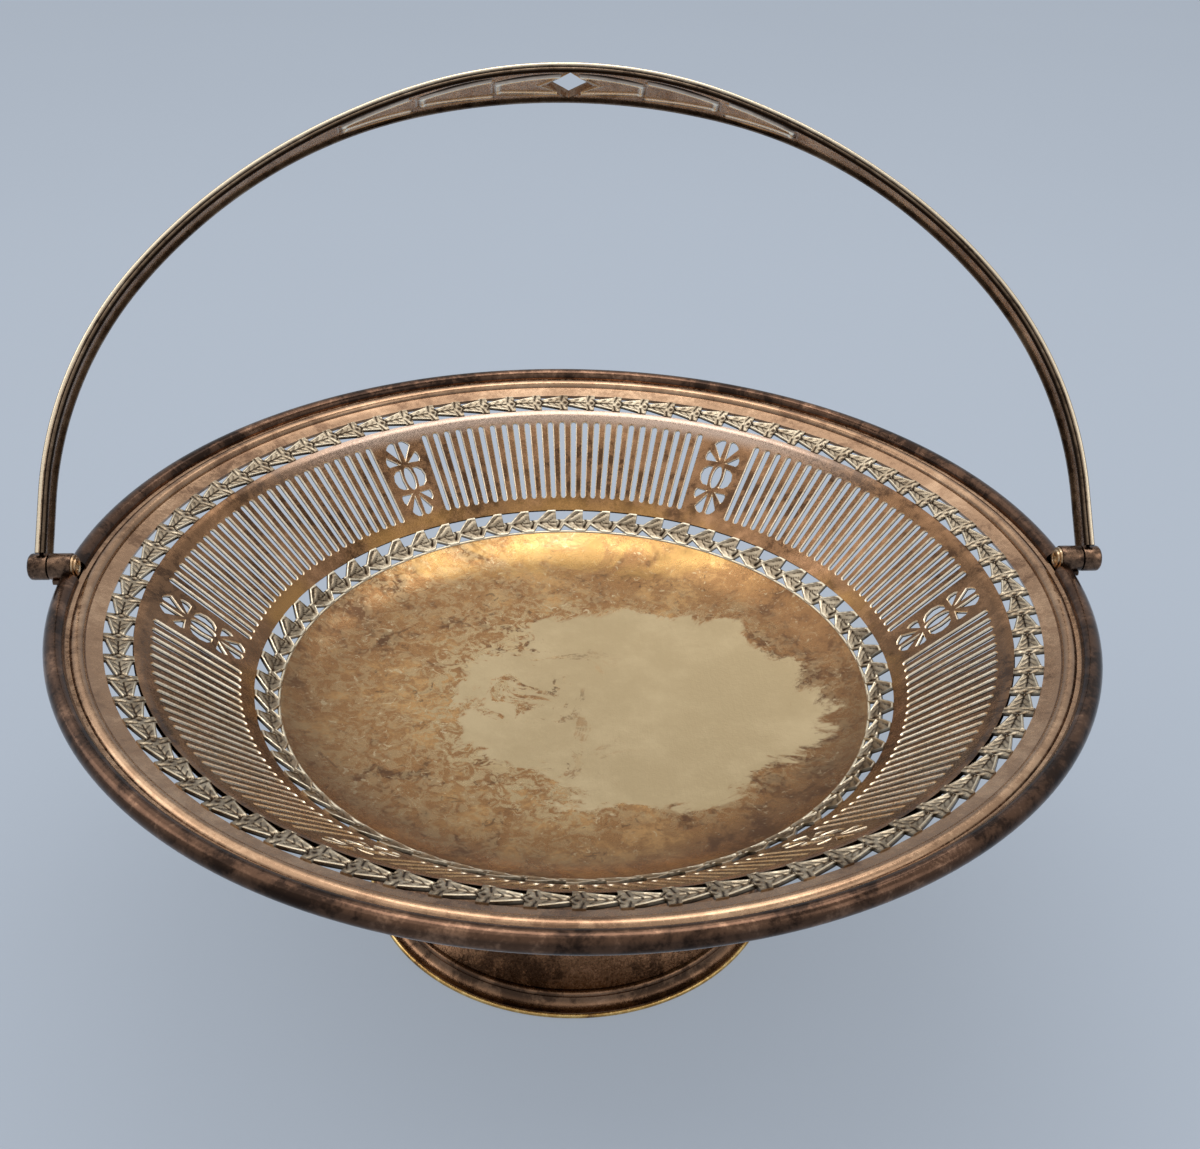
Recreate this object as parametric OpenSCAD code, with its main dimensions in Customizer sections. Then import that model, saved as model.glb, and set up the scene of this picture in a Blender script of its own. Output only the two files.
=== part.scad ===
// Round footed cake basket with a swing handle, pierced gallery and leaf bands.
// The foot stands on z = 0. X runs along the handle's hinge line.

/* [Dish] */
// Outer radius of the rolled rim
rim_r = 135; // [132:0.5:140]
// Height of the rolled rim's middle above the base
rim_z = 105; // [98:0.5:112]
// Thickness of the sheet metal
sheet = 1.2; // [0.9:0.1:1.4]
// Height of the rolled edge's middle above the outer leaf band
border_h = 2.8; // [2.6:0.1:3]
// Slope of the rim border in degrees
border_slope = 18; // [16:0.5:20]
// Slope of the pierced gallery in degrees
wall_slope = 42.6; // [41:0.2:44]
// Slope of the inner leaf band in degrees
inner_slope = 38; // [36:0.5:40]

/* [Rim] */
// Radius of the rolled edge
roll_r = 2.5; // [2.2:0.1:2.8]
// Radius of the ridge inside the rolled edge
ridge_r = 2; // [1.7:0.1:2.2]
// Distance of the ridge's middle from the rim's outer edge
ridge_in = 7.7; // [7.4:0.1:8]

/* [Leaf bands] */
// Distance of the outer leaf band's outer edge from the rim's outer edge
outer_band_in = 13.3; // [12.8:0.1:13.8]
// Width of the outer leaf band in plan
outer_band_w = 6.9; // [6.5:0.1:7.3]
// Number of leaves in the outer band
outer_leaves = 81; // [78:1:84]
// Distance of the inner leaf band's outer edge from the rim's outer edge
inner_band_in = 47.3; // [46.8:0.1:47.8]
// Width of the inner leaf band in plan
inner_band_w = 6.2; // [5.9:0.1:6.5]
// Number of leaves in the inner band
inner_leaves = 60; // [56:1:62]
// Height of the leaf bands' raised middle
leaf_rise = 0.4; // [0.3:0.1:0.7]

/* [Gallery] */
// Number of slots in a panel
panel_slots = 25; // [23:2:25]
// Angle from slot to slot in degrees
slot_pitch = 2.06; // [2:0.02:2.08]
// Width of a slot at its outer end
slot_w_out = 1.9; // [1.7:0.1:2]
// Width of a slot at its inner end
slot_w_in = 1.6; // [1.4:0.1:1.7]
// Width of the plain strip between the shoulder's corner and the slots in plan
strip_w_out = 2.45; // [2.2:0.05:2.7]
// Width of the plain strip between the inner leaf band and the slots in plan
strip_w_in = 3.3; // [3:0.1:3.6]
// Radius of the outer shoulder
shoulder_r = 6; // [5:0.5:7]
// Width of a motif's oval
oval_w = 11.2; // [10.6:0.2:11.6]
// Length of a motif's oval along the slope
oval_l = 8.4; // [8:0.2:8.8]

/* [Well] */
// Radius of the curve round the well's edge
well_curve = 35; // [32:1:38]
// Slope of the well at its edge in degrees
well_edge_slope = 30; // [28:1:32]
// Slope of the well inside its edge curve in degrees
well_slope = 5; // [4.5:0.5:5.5]

/* [Foot] */
// Radius of the foot's base
foot_r = 60.4; // [58:0.2:63]
// Radius of the foot's waist
waist_r = 33; // [31:0.5:35]
// Radius of the foot's flare
flare_r = 45; // [44:0.5:46]
// Height of the foot's stepped base
base_h = 6.2; // [6:0.1:6.4]
// Radius of the wire round the foot
foot_wire_r = 0.75; // [0.65:0.05:0.85]

/* [Hinge] */
// Height of the hinge line above the rim's middle
axis_up = 2.65; // [2.6:0.05:3]
// Radius of the hinge barrel
barrel_r = 3.5; // [3.4:0.05:3.6]
// Distance of the lug's inner end from the rim's outer edge
lug_set = 3.2; // [3:0.1:3.4]
// Length of the lug's half of the barrel
lug_len = 5.8; // [5.5:0.1:6]
// Length of the handle's half of the barrel
knuckle_len = 5; // [4.8:0.1:5.2]
// Radius of the hinge pin
pin_r = 1.6; // [1.4:0.1:1.8]
// Running clearance round the pin
pin_play = 0.05; // [0.03:0.01:0.08]
// Gap between the two halves of the barrel
barrel_gap = 0.3; // [0.3:0.05:0.4]

/* [Handle] */
// Lean of the handle away from upright in degrees
lean = 42; // [0:1:60]
// Distance of the arch's legs from the knuckles' inner ends
leg_in = 1.6; // [1.5:0.05:1.8]
// Height of the arch above the hinge line
arch_h = 140; // [138:0.5:144]
// Distance of the haunches' centres from the middle of the arch
haunch_x = 36; // [32:1:40]
// Width of the strap at the legs
strap_w_end = 7.6; // [7:0.1:8.2]
// Width of the strap at the top
strap_w_top = 18; // [17:0.1:19]
// Half length over which the strap widens
widen_len = 100; // [90:1:110]
// Thickness of the strap
strap_t = 1.4; // [1.2:0.1:1.6]
// Thickness of the reeded edging
edge_t = 2.7; // [2.5:0.1:2.9]
// Width of the reeded edging
edge_w = 1.3; // [1.2:0.1:1.5]
// Length of the pierced lozenge
lozenge = 11.5; // [10.5:0.1:12.5]
// Distance from husk to husk
husk_len = 21.5; // [20:0.5:22]
// Depth of the husks in the strap's inner face
husk_depth = 0.5; // [0.3:0.1:0.7]

/* [Hidden] */
$fn = 96;
e = 0.01;
roll_c = rim_r - roll_r;
outer_r = rim_r - outer_band_in;
outer_in_r = outer_r - outer_band_w;
inner_r = rim_r - inner_band_in;
inner_in_r = inner_r - inner_band_w;
shoulder_t = shoulder_r * tan((wall_slope - border_slope) / 2);
corner_r = outer_in_r - shoulder_t * cos(border_slope);
// Heights of the sheet's upper face at the seams, above the rim's middle
outer_z = -border_h;
outer_in_z = outer_z - outer_band_w * tan(border_slope);
corner_z = outer_in_z - shoulder_t * sin(border_slope);
inner_z = corner_z - (corner_r - inner_r) * tan(wall_slope);
inner_in_z = inner_z - inner_band_w * tan(inner_slope);
// Well: centre of its edge curve and of its shallow cap
well_cr = inner_in_r - well_curve * sin(well_edge_slope);
well_cz = inner_in_z + well_curve * cos(well_edge_slope);
cap_edge_r = well_cr + well_curve * sin(well_slope);
cap_edge_z = well_cz - well_curve * cos(well_slope);
cap_r = cap_edge_r / sin(well_slope);
cap_z = cap_edge_z + cap_r * cos(well_slope);
// Slots on the gallery
slot_out_r = corner_r - strip_w_out;
slot_in_r = inner_r + strip_w_in;
slot_len = (slot_out_r - slot_in_r) / cos(wall_slope);
slot_mid_r = (slot_out_r + slot_in_r) / 2;
slot_mid_z = corner_z - (corner_r - slot_mid_r) * tan(wall_slope);
panels = 6;
panel_step = 360 / panels;
// Hinge
axis_z = rim_z + axis_up;
lug_in = rim_r - lug_set;
lug_out = lug_in + lug_len;
knuckle_in = lug_out + barrel_gap;
knuckle_out = knuckle_in + knuckle_len;
pin_end = knuckle_out - 0.26 * knuckle_len;
seat_z = rim_z - 0.4 * roll_r;
seat_w = 2 * barrel_r;
foot_wire_z = base_h / 6.2;
// Foot: the flare runs from its waist down to the stepped base
flare_run = foot_r - 0.84 * base_h - waist_r;
waist_z = base_h + sqrt(2 * flare_r * flare_run - flare_run * flare_run);
// Arch of the handle, drawn with three centres on the sides of a 3-4-5 triangle
span = knuckle_in + leg_in;
joint = atan2(3, 4);
haunch_steps = 16;
crown_steps = 48;
haunch_r = span - haunch_x;
crown_r = haunch_r + 1.25 * haunch_x;
crown_z = arch_h - crown_r;
leg_h = crown_z + 0.75 * haunch_x;
// Plan of the strap: a crown curve that runs a little past its crossing with two reverse curves
crown_over = 0.05;
widen_d = (strap_w_top - strap_w_end) / 2 - crown_over;
widen_sum = (widen_len * widen_len / widen_d + widen_d) / 2;
bulge_r = widen_sum * 0.45;
reverse_r = widen_sum - bulge_r;
meet_x = widen_len * bulge_r / widen_sum;
// Husks: middle of the first one and half of the strap's plain width there
husk_x = lozenge / 2 + 0.31 * husk_len;
husk_w = strap_w_top / 2 - edge_w - 0.6;

// Lower face of the sheet below a seam where slopes a and b meet
function under(r, z, a, b) = [r + sheet * sin((a + b) / 2) / cos((a - b) / 2),
    z - sheet * cos((a + b) / 2) / cos((a - b) / 2)];

// Turns a profile drawn in radius and height into a ring, or part of one, at the rim's height
module ring(turn = 360) {
    translate([0, 0, rim_z]) rotate_extrude(angle = turn, $fn = 180) children();
}

// Puts a flat drawing on a sloping ring: x up the slope, y round the ring
module on_slope(r, z, slope, angle) {
    translate([0, 0, rim_z]) rotate([0, 0, angle]) translate([r, 0, z]) rotate([0, -slope, 0]) children();
}

// Quarter region between two directions, seen from a centre
module wedge(a, b, size) {
    polygon([[0, 0], [size * cos(a), size * sin(a)], [size * cos((a + b) / 2), size * sin((a + b) / 2)],
        [size * cos(b), size * sin(b)]]);
}

module well_section() {
    lo = under(inner_in_r, inner_in_z, inner_slope, well_edge_slope);
    intersection() {
        union() {
            translate([well_cr, well_cz]) intersection() {
                difference() {
                    circle(well_curve + sheet, $fn = 200);
                    circle(well_curve, $fn = 200);
                }
                wedge(-90 + well_slope, -90 + well_edge_slope + 6, 80);
            }
            translate([0, cap_z]) intersection() {
                difference() {
                    circle(cap_r + sheet, $fn = 400);
                    circle(cap_r, $fn = 400);
                }
                polygon([[0, 0], [0, -cap_r - 20],
                    [(cap_r + 20) * sin(well_slope), -(cap_r + 20) * cos(well_slope)]]);
            }
        }
        polygon([[0, -60], [lo[0] + 2 * (lo[0] - inner_in_r), lo[1] - 2 * (inner_in_z - lo[1])],
            [inner_in_r, inner_in_z],
            [inner_in_r - 2 * (lo[0] - inner_in_r), inner_in_z + 2 * (inner_in_z - lo[1])],
            [0, 20]]);
    }
}

module well_dish() {
    color("darkkhaki") ring() well_section();
}

// Section of a leaf band: a sheet with a raised middle
module band_section(ra, za, rb, zb, slope, lo_a, lo_b) {
    n = [-sin(slope), cos(slope)];
    d = [rb - ra, zb - za];
    polygon([[ra, za], [ra, za] + 0.25 * d + leaf_rise * n, [ra, za] + 0.75 * d + leaf_rise * n,
        [rb, zb], lo_b, lo_a]);
}

// Opening beside one leaf, from the end of its shoulder past its tip to the next leaf
module leaf_gap(half_w, pitch, shoulder, tip, neck, bulge) {
    taper = [for (i = [0 : 5]) let (t = i / 5)
        [half_w * (1.06 - (1.06 - neck) * pow(t, bulge)), pitch * (shoulder + (tip - shoulder) * t)]];
    linear_extrude(height = 8, center = true)
        polygon(concat(taper,
            [[half_w * neck, pitch], [half_w + 1, pitch], [half_w + 1, pitch * shoulder]]));
}

module outer_leaf_band() {
    half_w = outer_band_w / cos(border_slope) / 2;
    step = 360 / outer_leaves;
    pitch = (outer_r + outer_in_r) * tan(step / 2);
    color("lightgray") difference() {
        ring() band_section(outer_r, outer_z, outer_in_r, outer_in_z, border_slope,
            under(outer_r, outer_z, border_slope, border_slope),
            under(outer_in_r, outer_in_z, border_slope, border_slope));
        for (i = [0 : outer_leaves - 1])
            on_slope((outer_r + outer_in_r) / 2, (outer_z + outer_in_z) / 2, border_slope, (i + 0.5) * step)
                for (side = [0, 1]) mirror([side, 0, 0]) translate([0, -pitch / 2, 0])
                    leaf_gap(half_w, pitch, 0.36, 0.97, 0.34, 1.35);
    }
}

module inner_leaf_band() {
    half_w = inner_band_w / cos(inner_slope) / 2;
    step = 360 / inner_leaves;
    pitch = (inner_r + inner_in_r) * tan(step / 2);
    color("lightgray") difference() {
        ring() band_section(inner_r, inner_z, inner_in_r, inner_in_z, inner_slope,
            under(inner_r, inner_z, wall_slope, inner_slope),
            under(inner_in_r, inner_in_z, inner_slope, well_edge_slope));
        for (i = [0 : inner_leaves - 1])
            on_slope((inner_r + inner_in_r) / 2, (inner_z + inner_in_z) / 2, inner_slope, (i + 0.5) * step)
                translate([0, -pitch / 2, 0]) {
                    leaf_gap(half_w, pitch, 0.28, 0.72, 0.02, 1.7);
                    mirror([1, 0, 0]) leaf_gap(half_w, pitch, 0.26, 0.86, 0.42, 1.2);
                }
    }
}

// Rounded shoulder at the top of the gallery
module shoulder_section() {
    translate([outer_in_r + shoulder_r * sin(border_slope), outer_in_z - shoulder_r * cos(border_slope)])
        intersection() {
            difference() {
                circle(shoulder_r);
                circle(shoulder_r - sheet);
            }
            wedge(90 + border_slope, 90 + wall_slope, 20);
        }
}

// Straight wall of the gallery below the shoulder
module wall_section() {
    low = [corner_r - shoulder_t * cos(wall_slope), corner_z - shoulder_t * sin(wall_slope)];
    n = [sin(wall_slope), -cos(wall_slope)];
    polygon([low, [inner_r, inner_z], under(inner_r, inner_z, wall_slope, inner_slope), low + sheet * n]);
}

// One slot with round ends, drawn along the slope
module slot() {
    a = slot_len / 2 - slot_w_out / 2;
    b = slot_len / 2 - slot_w_in / 2;
    translate([a, 0, 0]) cylinder(h = 6, d = slot_w_out, center = true, $fn = 24);
    translate([-b, 0, 0]) cylinder(h = 6, d = slot_w_in, center = true, $fn = 24);
    linear_extrude(height = 6, center = true)
        polygon([[a, -slot_w_out / 2], [a, slot_w_out / 2], [-b, slot_w_in / 2], [-b, -slot_w_in / 2]]);
}

// Half of a motif's rosette, in units of the oval: an end petal and a side triangle
module petals(reach) {
    polygon([[6.4, 0.9], [reach - 0.5, 0.7], [reach, 1.5], [reach - 0.5, 3], [reach - 1.8, 3.9]]);
    polygon([[5.4, 1.6], [8.6, 4.9], [7.8, 5.6], [5.2, 5]]);
}

// One floral motif: an oval of three openings between two rosettes
module motif() {
    unit = oval_l / 8.4;
    linear_extrude(height = 10, center = true) scale(unit) {
        for (side = [0, 1], way = [0, 1]) mirror([side, 0]) mirror([0, way])
            petals(slot_len / 2 / unit - 0.3);
        intersection() {
            translate([0, 5.2]) circle(6.6, $fn = 48);
            translate([0, -5.2]) circle(6.6, $fn = 48);
            square([8.4, 3], center = true);
        }
        for (way = [0, 1]) mirror([0, way]) intersection() {
            circle(oval_w / 2 / unit, $fn = 64);
            square([7.4, 20], center = true);
            translate([0, 6.2]) circle(4.2, $fn = 48);
        }
    }
}

// Panel of the gallery: one motif between two half rows of slots, cut from its neighbours along two bars
module gallery_panel(number) {
    from = (number - 0.5) * panel_step + slot_pitch / 2;
    rotate([0, 0, from]) color("rosybrown") difference() {
        union() {
            ring(panel_step) shoulder_section();
            ring(panel_step) wall_section();
        }
        on_slope(slot_mid_r, slot_mid_z, wall_slope, panel_step / 2 - slot_pitch / 2) motif();
        for (i = [0 : panel_slots - 1]) {
            place = (i - (panel_slots - 1) / 2) * slot_pitch - slot_pitch / 2;
            turn = place < -slot_pitch / 4 ? place + panel_step : place;
            on_slope(slot_mid_r, slot_mid_z, wall_slope, turn) slot();
        }
    }
}

module gallery_panel_1() {
    gallery_panel(0);
}

module gallery_panel_2() {
    gallery_panel(1);
}

module gallery_panel_3() {
    gallery_panel(2);
}

module gallery_panel_4() {
    gallery_panel(3);
}

module gallery_panel_5() {
    gallery_panel(4);
}

module gallery_panel_6() {
    gallery_panel(5);
}

module rim_flange() {
    lo = under(outer_r, outer_z, border_slope, border_slope);
    reach = roll_c - outer_r;
    color("tan") difference() {
        union() {
            ring() polygon([[outer_r, outer_z], [roll_c, outer_z + reach * tan(border_slope)],
                [lo[0] + reach, lo[1] + reach * tan(border_slope)], lo]);
            ring() translate([rim_r - ridge_in,
                outer_z + (outer_band_in - ridge_in) * tan(border_slope) - sheet / 2]) circle(ridge_r);
        }
        ring() translate([roll_c, 0]) circle(roll_r);
    }
}

// Pocket in the rolled edge for a lug
module lug_seat() {
    translate([lug_in - 3, -seat_w / 2, seat_z]) cube([12, seat_w, 10]);
}

module rim_wire() {
    color("sienna") difference() {
        ring() translate([roll_c, 0]) circle(roll_r);
        lug_seat();
        mirror([1, 0, 0]) lug_seat();
    }
}

// Flared wall of the foot
module flare_section() {
    intersection() {
        translate([waist_r + flare_r, waist_z]) difference() {
            circle(flare_r + sheet, $fn = 200);
            circle(flare_r, $fn = 200);
        }
        polygon([[0, base_h], [foot_r - 0.8 * base_h, base_h], [waist_r + flare_r, waist_z],
            [waist_r + flare_r / 2, waist_z + flare_r], [0, waist_z + flare_r]]);
    }
}

// Stepped base of the foot
module base_section() {
    difference() {
        translate([foot_r, 0]) scale(base_h / 6.2) difference() {
            polygon([[-6.3, 6.6], [-4.9, 6.2], [-3.2, 4.6], [-3, 3], [0, 2], [0, 0], [-2.8, 0], [-4.4, 2],
                [-5.2, 4.2], [-6.6, 5.6]]);
            translate([-0.6, 4.2]) circle(2.6, $fn = 48);
        }
        translate([foot_r, foot_wire_z]) circle(foot_wire_r, $fn = 32);
    }
}

module foot() {
    color("saddlebrown") difference() {
        union() {
            rotate_extrude($fn = 180) flare_section();
            rotate_extrude($fn = 180) translate([foot_r, 0]) scale(base_h / 6.2) translate([-4.1, 5])
                circle(1.1, $fn = 32);
            rotate_extrude($fn = 180) base_section();
        }
        translate([0, 0, rim_z + cap_z]) sphere(cap_r + sheet, $fn = 400);
    }
}

module foot_wire() {
    color("goldenrod") rotate_extrude($fn = 180) translate([foot_r, foot_wire_z])
        circle(foot_wire_r, $fn = 32);
}

// Round bar along X at the height of the hinge line
module bar(from, to, r) {
    translate([from, 0, axis_z]) rotate([0, 90, 0]) cylinder(h = to - from, r = r);
}

module hinge_lug_right() {
    color("dimgray") difference() {
        union() {
            bar(lug_in, lug_out, barrel_r);
            translate([lug_in, -seat_w / 2, seat_z]) cube([lug_len - 0.7, seat_w, axis_z - seat_z]);
            translate([rim_r + 0.15, -seat_w / 2, seat_z - 1.1])
                cube([lug_out - 0.7 - rim_r - 0.15, seat_w, 2]);
        }
        bar(lug_in - 1, lug_out + 1, pin_r);
    }
}

module hinge_lug_left() {
    mirror([1, 0, 0]) hinge_lug_right();
}

module hinge_pin_right() {
    color("silver") difference() {
        union() {
            bar(lug_in - e, pin_end, pin_r);
            bar(lug_in - 0.6, lug_in, barrel_r - 0.4);
            bar(lug_in - 1.2, lug_in - 0.6, barrel_r - 1.1);
        }
        bar(lug_in - 2, lug_in - 0.5, pin_r - 0.2);
    }
}

module hinge_pin_left() {
    mirror([1, 0, 0]) hinge_pin_right();
}

// Leans a shape drawn upright over the hinge line
module leaned() {
    translate([0, 0, axis_z]) rotate([-lean, 0, 0]) children();
}

// Points on a circle round a centre
function on_circle(x, z, r, a) = [x + r * cos(a), z + r * sin(a)];

// Line of the arch in the X-Z plane from its right leg to its left one, moved outwards by d
function arch_line(d) = concat([[span + d, 0]],
    [for (i = [0 : haunch_steps]) on_circle(haunch_x, leg_h, haunch_r + d, joint * i / haunch_steps)],
    [for (i = [1 : crown_steps - 1])
        on_circle(0, crown_z, crown_r + d, joint + (180 - 2 * joint) * i / crown_steps)],
    [for (i = [haunch_steps : -1 : 0])
        on_circle(-haunch_x, leg_h, haunch_r + d, 180 - joint * i / haunch_steps)],
    [[-span - d, 0]]);

// Solid arch between two lines, as wide as the strap's widest part
module arch(low, high) {
    outside = arch_line(high);
    inside = arch_line(low);
    last = len(inside) - 1;
    rotate([90, 0, 0]) linear_extrude(height = strap_w_top + 4, center = true)
        polygon(concat(outside, [for (i = [0 : last]) inside[last - i]]));
}

// Upright block over the strap's plan between its long edges, drawn in by trim
module plan_solid(trim) {
    top = strap_w_top / 2 - trim;
    end = strap_w_end / 2 - trim;
    translate([0, 0, -10]) {
        linear_extrude(height = arch_h + 30) intersection() {
            translate([0, top - bulge_r]) circle(bulge_r, $fn = 720);
            translate([0, bulge_r - top]) circle(bulge_r, $fn = 720);
            square([2 * meet_x + 16, 2 * top + 2], center = true);
        }
        for (side = [0, 1]) mirror([side, 0, 0]) {
            linear_extrude(height = arch_h + 30) difference() {
                translate([meet_x, -top]) square([widen_len - meet_x, 2 * top]);
                translate([widen_len, end + reverse_r]) circle(reverse_r, $fn = 720);
                translate([widen_len, -end - reverse_r]) circle(reverse_r, $fn = 720);
            }
            translate([widen_len, -end, 0]) cube([span + 10 - widen_len, 2 * end, arch_h + 30]);
        }
    }
}

module knuckle_room() {
    rotate([0, 90, 0]) cylinder(h = 3 * span, r = barrel_r, center = true);
}

// Pointed oval along X
module lobe(length, width) {
    r = (length * length + width * width) / width / 4;
    intersection() {
        translate([0, r - width / 2]) circle(r, $fn = 96);
        translate([0, width / 2 - r]) circle(r, $fn = 96);
    }
}

// Row of three husks on each side of the lozenge: two lobes with a bud between them at their outer end
module husks() {
    for (side = [0, 1], way = [0, 1], i = [0 : 2]) mirror([side, 0, 0]) mirror([0, way, 0]) {
        spread = husk_w - 1.1 * i;
        translate([husk_x + i * husk_len, 0.48 * spread, 0]) rotate([0, 0, -8])
            linear_extrude(height = arch_h + 30) lobe(0.88 * husk_len, 0.34 * spread);
    }
    for (side = [0, 1], i = [0 : 2]) mirror([side, 0, 0])
        translate([husk_x + (i + 0.22) * husk_len, 0, 0]) linear_extrude(height = arch_h + 30)
            lobe(0.36 * husk_len, 0.24 * (husk_w - 1.1 * i));
}

module handle_strap() {
    color("slategray") leaned() difference() {
        intersection() {
            arch(-strap_t / 2, strap_t / 2);
            plan_solid(edge_w);
        }
        knuckle_room();
        translate([0, 0, arch_h - 10]) linear_extrude(height = 20)
            polygon([[-lozenge / 2, 0], [0, -lozenge / 2], [lozenge / 2, 0], [0, lozenge / 2]]);
        intersection() {
            arch(-strap_t, husk_depth - strap_t / 2);
            husks();
        }
    }
}

// Reeded edging along one long edge
module edging() {
    difference() {
        intersection() {
            arch(-edge_t / 2, edge_t / 2);
            difference() {
                plan_solid(0);
                plan_solid(edge_w);
            }
            translate([-2 * span, 0, 0]) cube([4 * span, strap_w_top, 2 * arch_h]);
        }
        difference() {
            arch(-0.3, 0.3);
            plan_solid(0.4);
        }
        knuckle_room();
    }
}

module handle_edge_back() {
    color("darkslategray") leaned() edging();
}

module handle_edge_front() {
    color("darkslategray") leaned() mirror([0, 1, 0]) edging();
}

module handle_knuckle_right() {
    color("dimgray") difference() {
        union() {
            bar(knuckle_in, knuckle_out - 0.5, barrel_r);
            translate([knuckle_out - 0.5 - e, 0, axis_z]) rotate([0, 90, 0])
                cylinder(h = 0.5 + e, r1 = barrel_r, r2 = barrel_r - 0.5);
        }
        bar(knuckle_in - 1, pin_end + 0.4, pin_r + pin_play);
    }
}

module handle_knuckle_left() {
    mirror([1, 0, 0]) handle_knuckle_right();
}

well_dish();
inner_leaf_band();
gallery_panel_1();
gallery_panel_2();
gallery_panel_3();
gallery_panel_4();
gallery_panel_5();
gallery_panel_6();
outer_leaf_band();
rim_flange();
rim_wire();
foot();
foot_wire();
hinge_lug_left();
hinge_lug_right();
hinge_pin_left();
hinge_pin_right();
handle_strap();
handle_edge_front();
handle_edge_back();
handle_knuckle_left();
handle_knuckle_right();
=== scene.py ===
"""Round footed cake basket in tarnished silver plate, with a pierced gallery and a swing handle."""

import math

import bpy
from mathutils import Matrix, Vector


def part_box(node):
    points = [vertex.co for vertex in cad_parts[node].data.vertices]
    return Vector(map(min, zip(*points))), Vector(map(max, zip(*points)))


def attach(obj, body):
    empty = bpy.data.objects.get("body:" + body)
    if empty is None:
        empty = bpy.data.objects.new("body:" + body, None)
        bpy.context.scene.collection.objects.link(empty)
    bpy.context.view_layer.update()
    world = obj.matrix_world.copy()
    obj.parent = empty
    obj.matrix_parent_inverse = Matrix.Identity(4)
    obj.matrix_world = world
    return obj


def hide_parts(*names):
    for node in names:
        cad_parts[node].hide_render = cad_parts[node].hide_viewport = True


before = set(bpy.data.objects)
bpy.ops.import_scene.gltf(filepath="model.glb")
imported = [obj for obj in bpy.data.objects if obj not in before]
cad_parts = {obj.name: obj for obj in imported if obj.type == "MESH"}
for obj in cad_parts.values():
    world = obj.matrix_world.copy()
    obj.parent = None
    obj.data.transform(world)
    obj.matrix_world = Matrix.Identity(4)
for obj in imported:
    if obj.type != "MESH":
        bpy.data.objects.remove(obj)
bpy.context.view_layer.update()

bl_info = {
    "name": "Footed Cake Basket",
    "version": (1, 0, 0),
    "blender": (4, 5, 0),
    "location": "View3D > Sidebar > Basket",
    "description": "Builds a pierced and footed cake basket with a swing handle",
    "category": "Object",
}

MM = 0.001
RING_STEPS = 240
BARREL_STEPS = 48
WELD = 2e-6

# Dish, in millimetres: bands are placed inwards from the rim, and their widths run along the radius
SHEET = 1.2
LEAF_T = 0.55
OUTER_IN = 13.3
OUTER_DROP = 2.8
OUTER_W = 6.9
INNER_IN = 47.3
INNER_W = 6.2
BEAD_IN = 7.7
BORDER_SLOPE = math.radians(18)
WALL_SLOPE = math.radians(42.6)
INNER_SLOPE = math.radians(38)
RIM_Z = 105.0
ROLL_R = 2.5
RIDGE_R = 2.0
SHOULDER_R = 6.0
WELL_CURVE = 35.0
WELL_EDGE = math.radians(30)
WELL_FLAT = math.radians(5)

# Leaf bands: steps along a leaf, and the relief, in millimetres, from its shaded floor to its crest
LEAF_STEPS = 28
LEAF_ROWS = 18
OUTER_FLOOR = 0.1
INNER_FLOOR = 0.02
RELIEF_RANGE = 0.48

# Slots: plain wall below and above, softened edge and lit depth, in millimetres, then shares of the pitch
SLOT_LOW = 3.3
SLOT_HIGH = 3.7
SLOT_SOFT = 0.27
SLOT_LIT = 0.62
SLOT_CUT = 0.42
SLOT_END_LOW = 0.45
SLOT_END_HIGH = 0.53
SHOULDER_STEPS = 5

# Foot, in millimetres: middle and radius of the flare, and how far it reaches above and below that middle
FLARE_X = 78
FLARE_Z = 45
FLARE_R = 45
FLARE_UP = 18.5
FLARE_DOWN = 38.4

# Hinge, in millimetres
AXIS_Z = 107.65
BARREL_R = 3.5
PIN_R = 1.6
LUG_IN = 131.8
LUG_OUT = 137.6
KNUCKLE_IN = 137.9
KNUCKLE_OUT = 142.9
SEAT_Z = 104.0
LUG_W = 7

# Handle, in millimetres: husks and ornament are placed along the arch from the crown's middle
LEAN = math.radians(42)
SPAN = 139.5
HAUNCH_X = 36.0
HAUNCH_R = 103.5
CROWN_R = 148.5
CROWN_Z = -8.5
LEG_H = 18.5
LEG_GAP = 3.0
CROWN_TURN = math.atan2(0.8, 0.6)
HAUNCH_TURN = math.atan2(0.6, 0.8)
WIDEN = 100.0
EDGE_W = 1.3
BULGE_R = 431.4
REVERSE_R = 527.3
STRAP_HALF = 0.6
STRAP_LAP = 0.05
STRAP_OUTER = 44
STRAP_INNER = 90
ORNAMENT = 70.0
HUSKS = ((3.2, 21.0), (22.5, 43.0), (46.5, 66.5))
PLAIN_TONE = 0.56
LOZENGE_FLARE = 2.5
LOZENGE_DEPTH = 4
REED_R = 0.65
REED_UP = 0.7
REED_HALF = 1.33
REED_GROOVE = 0.9

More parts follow.
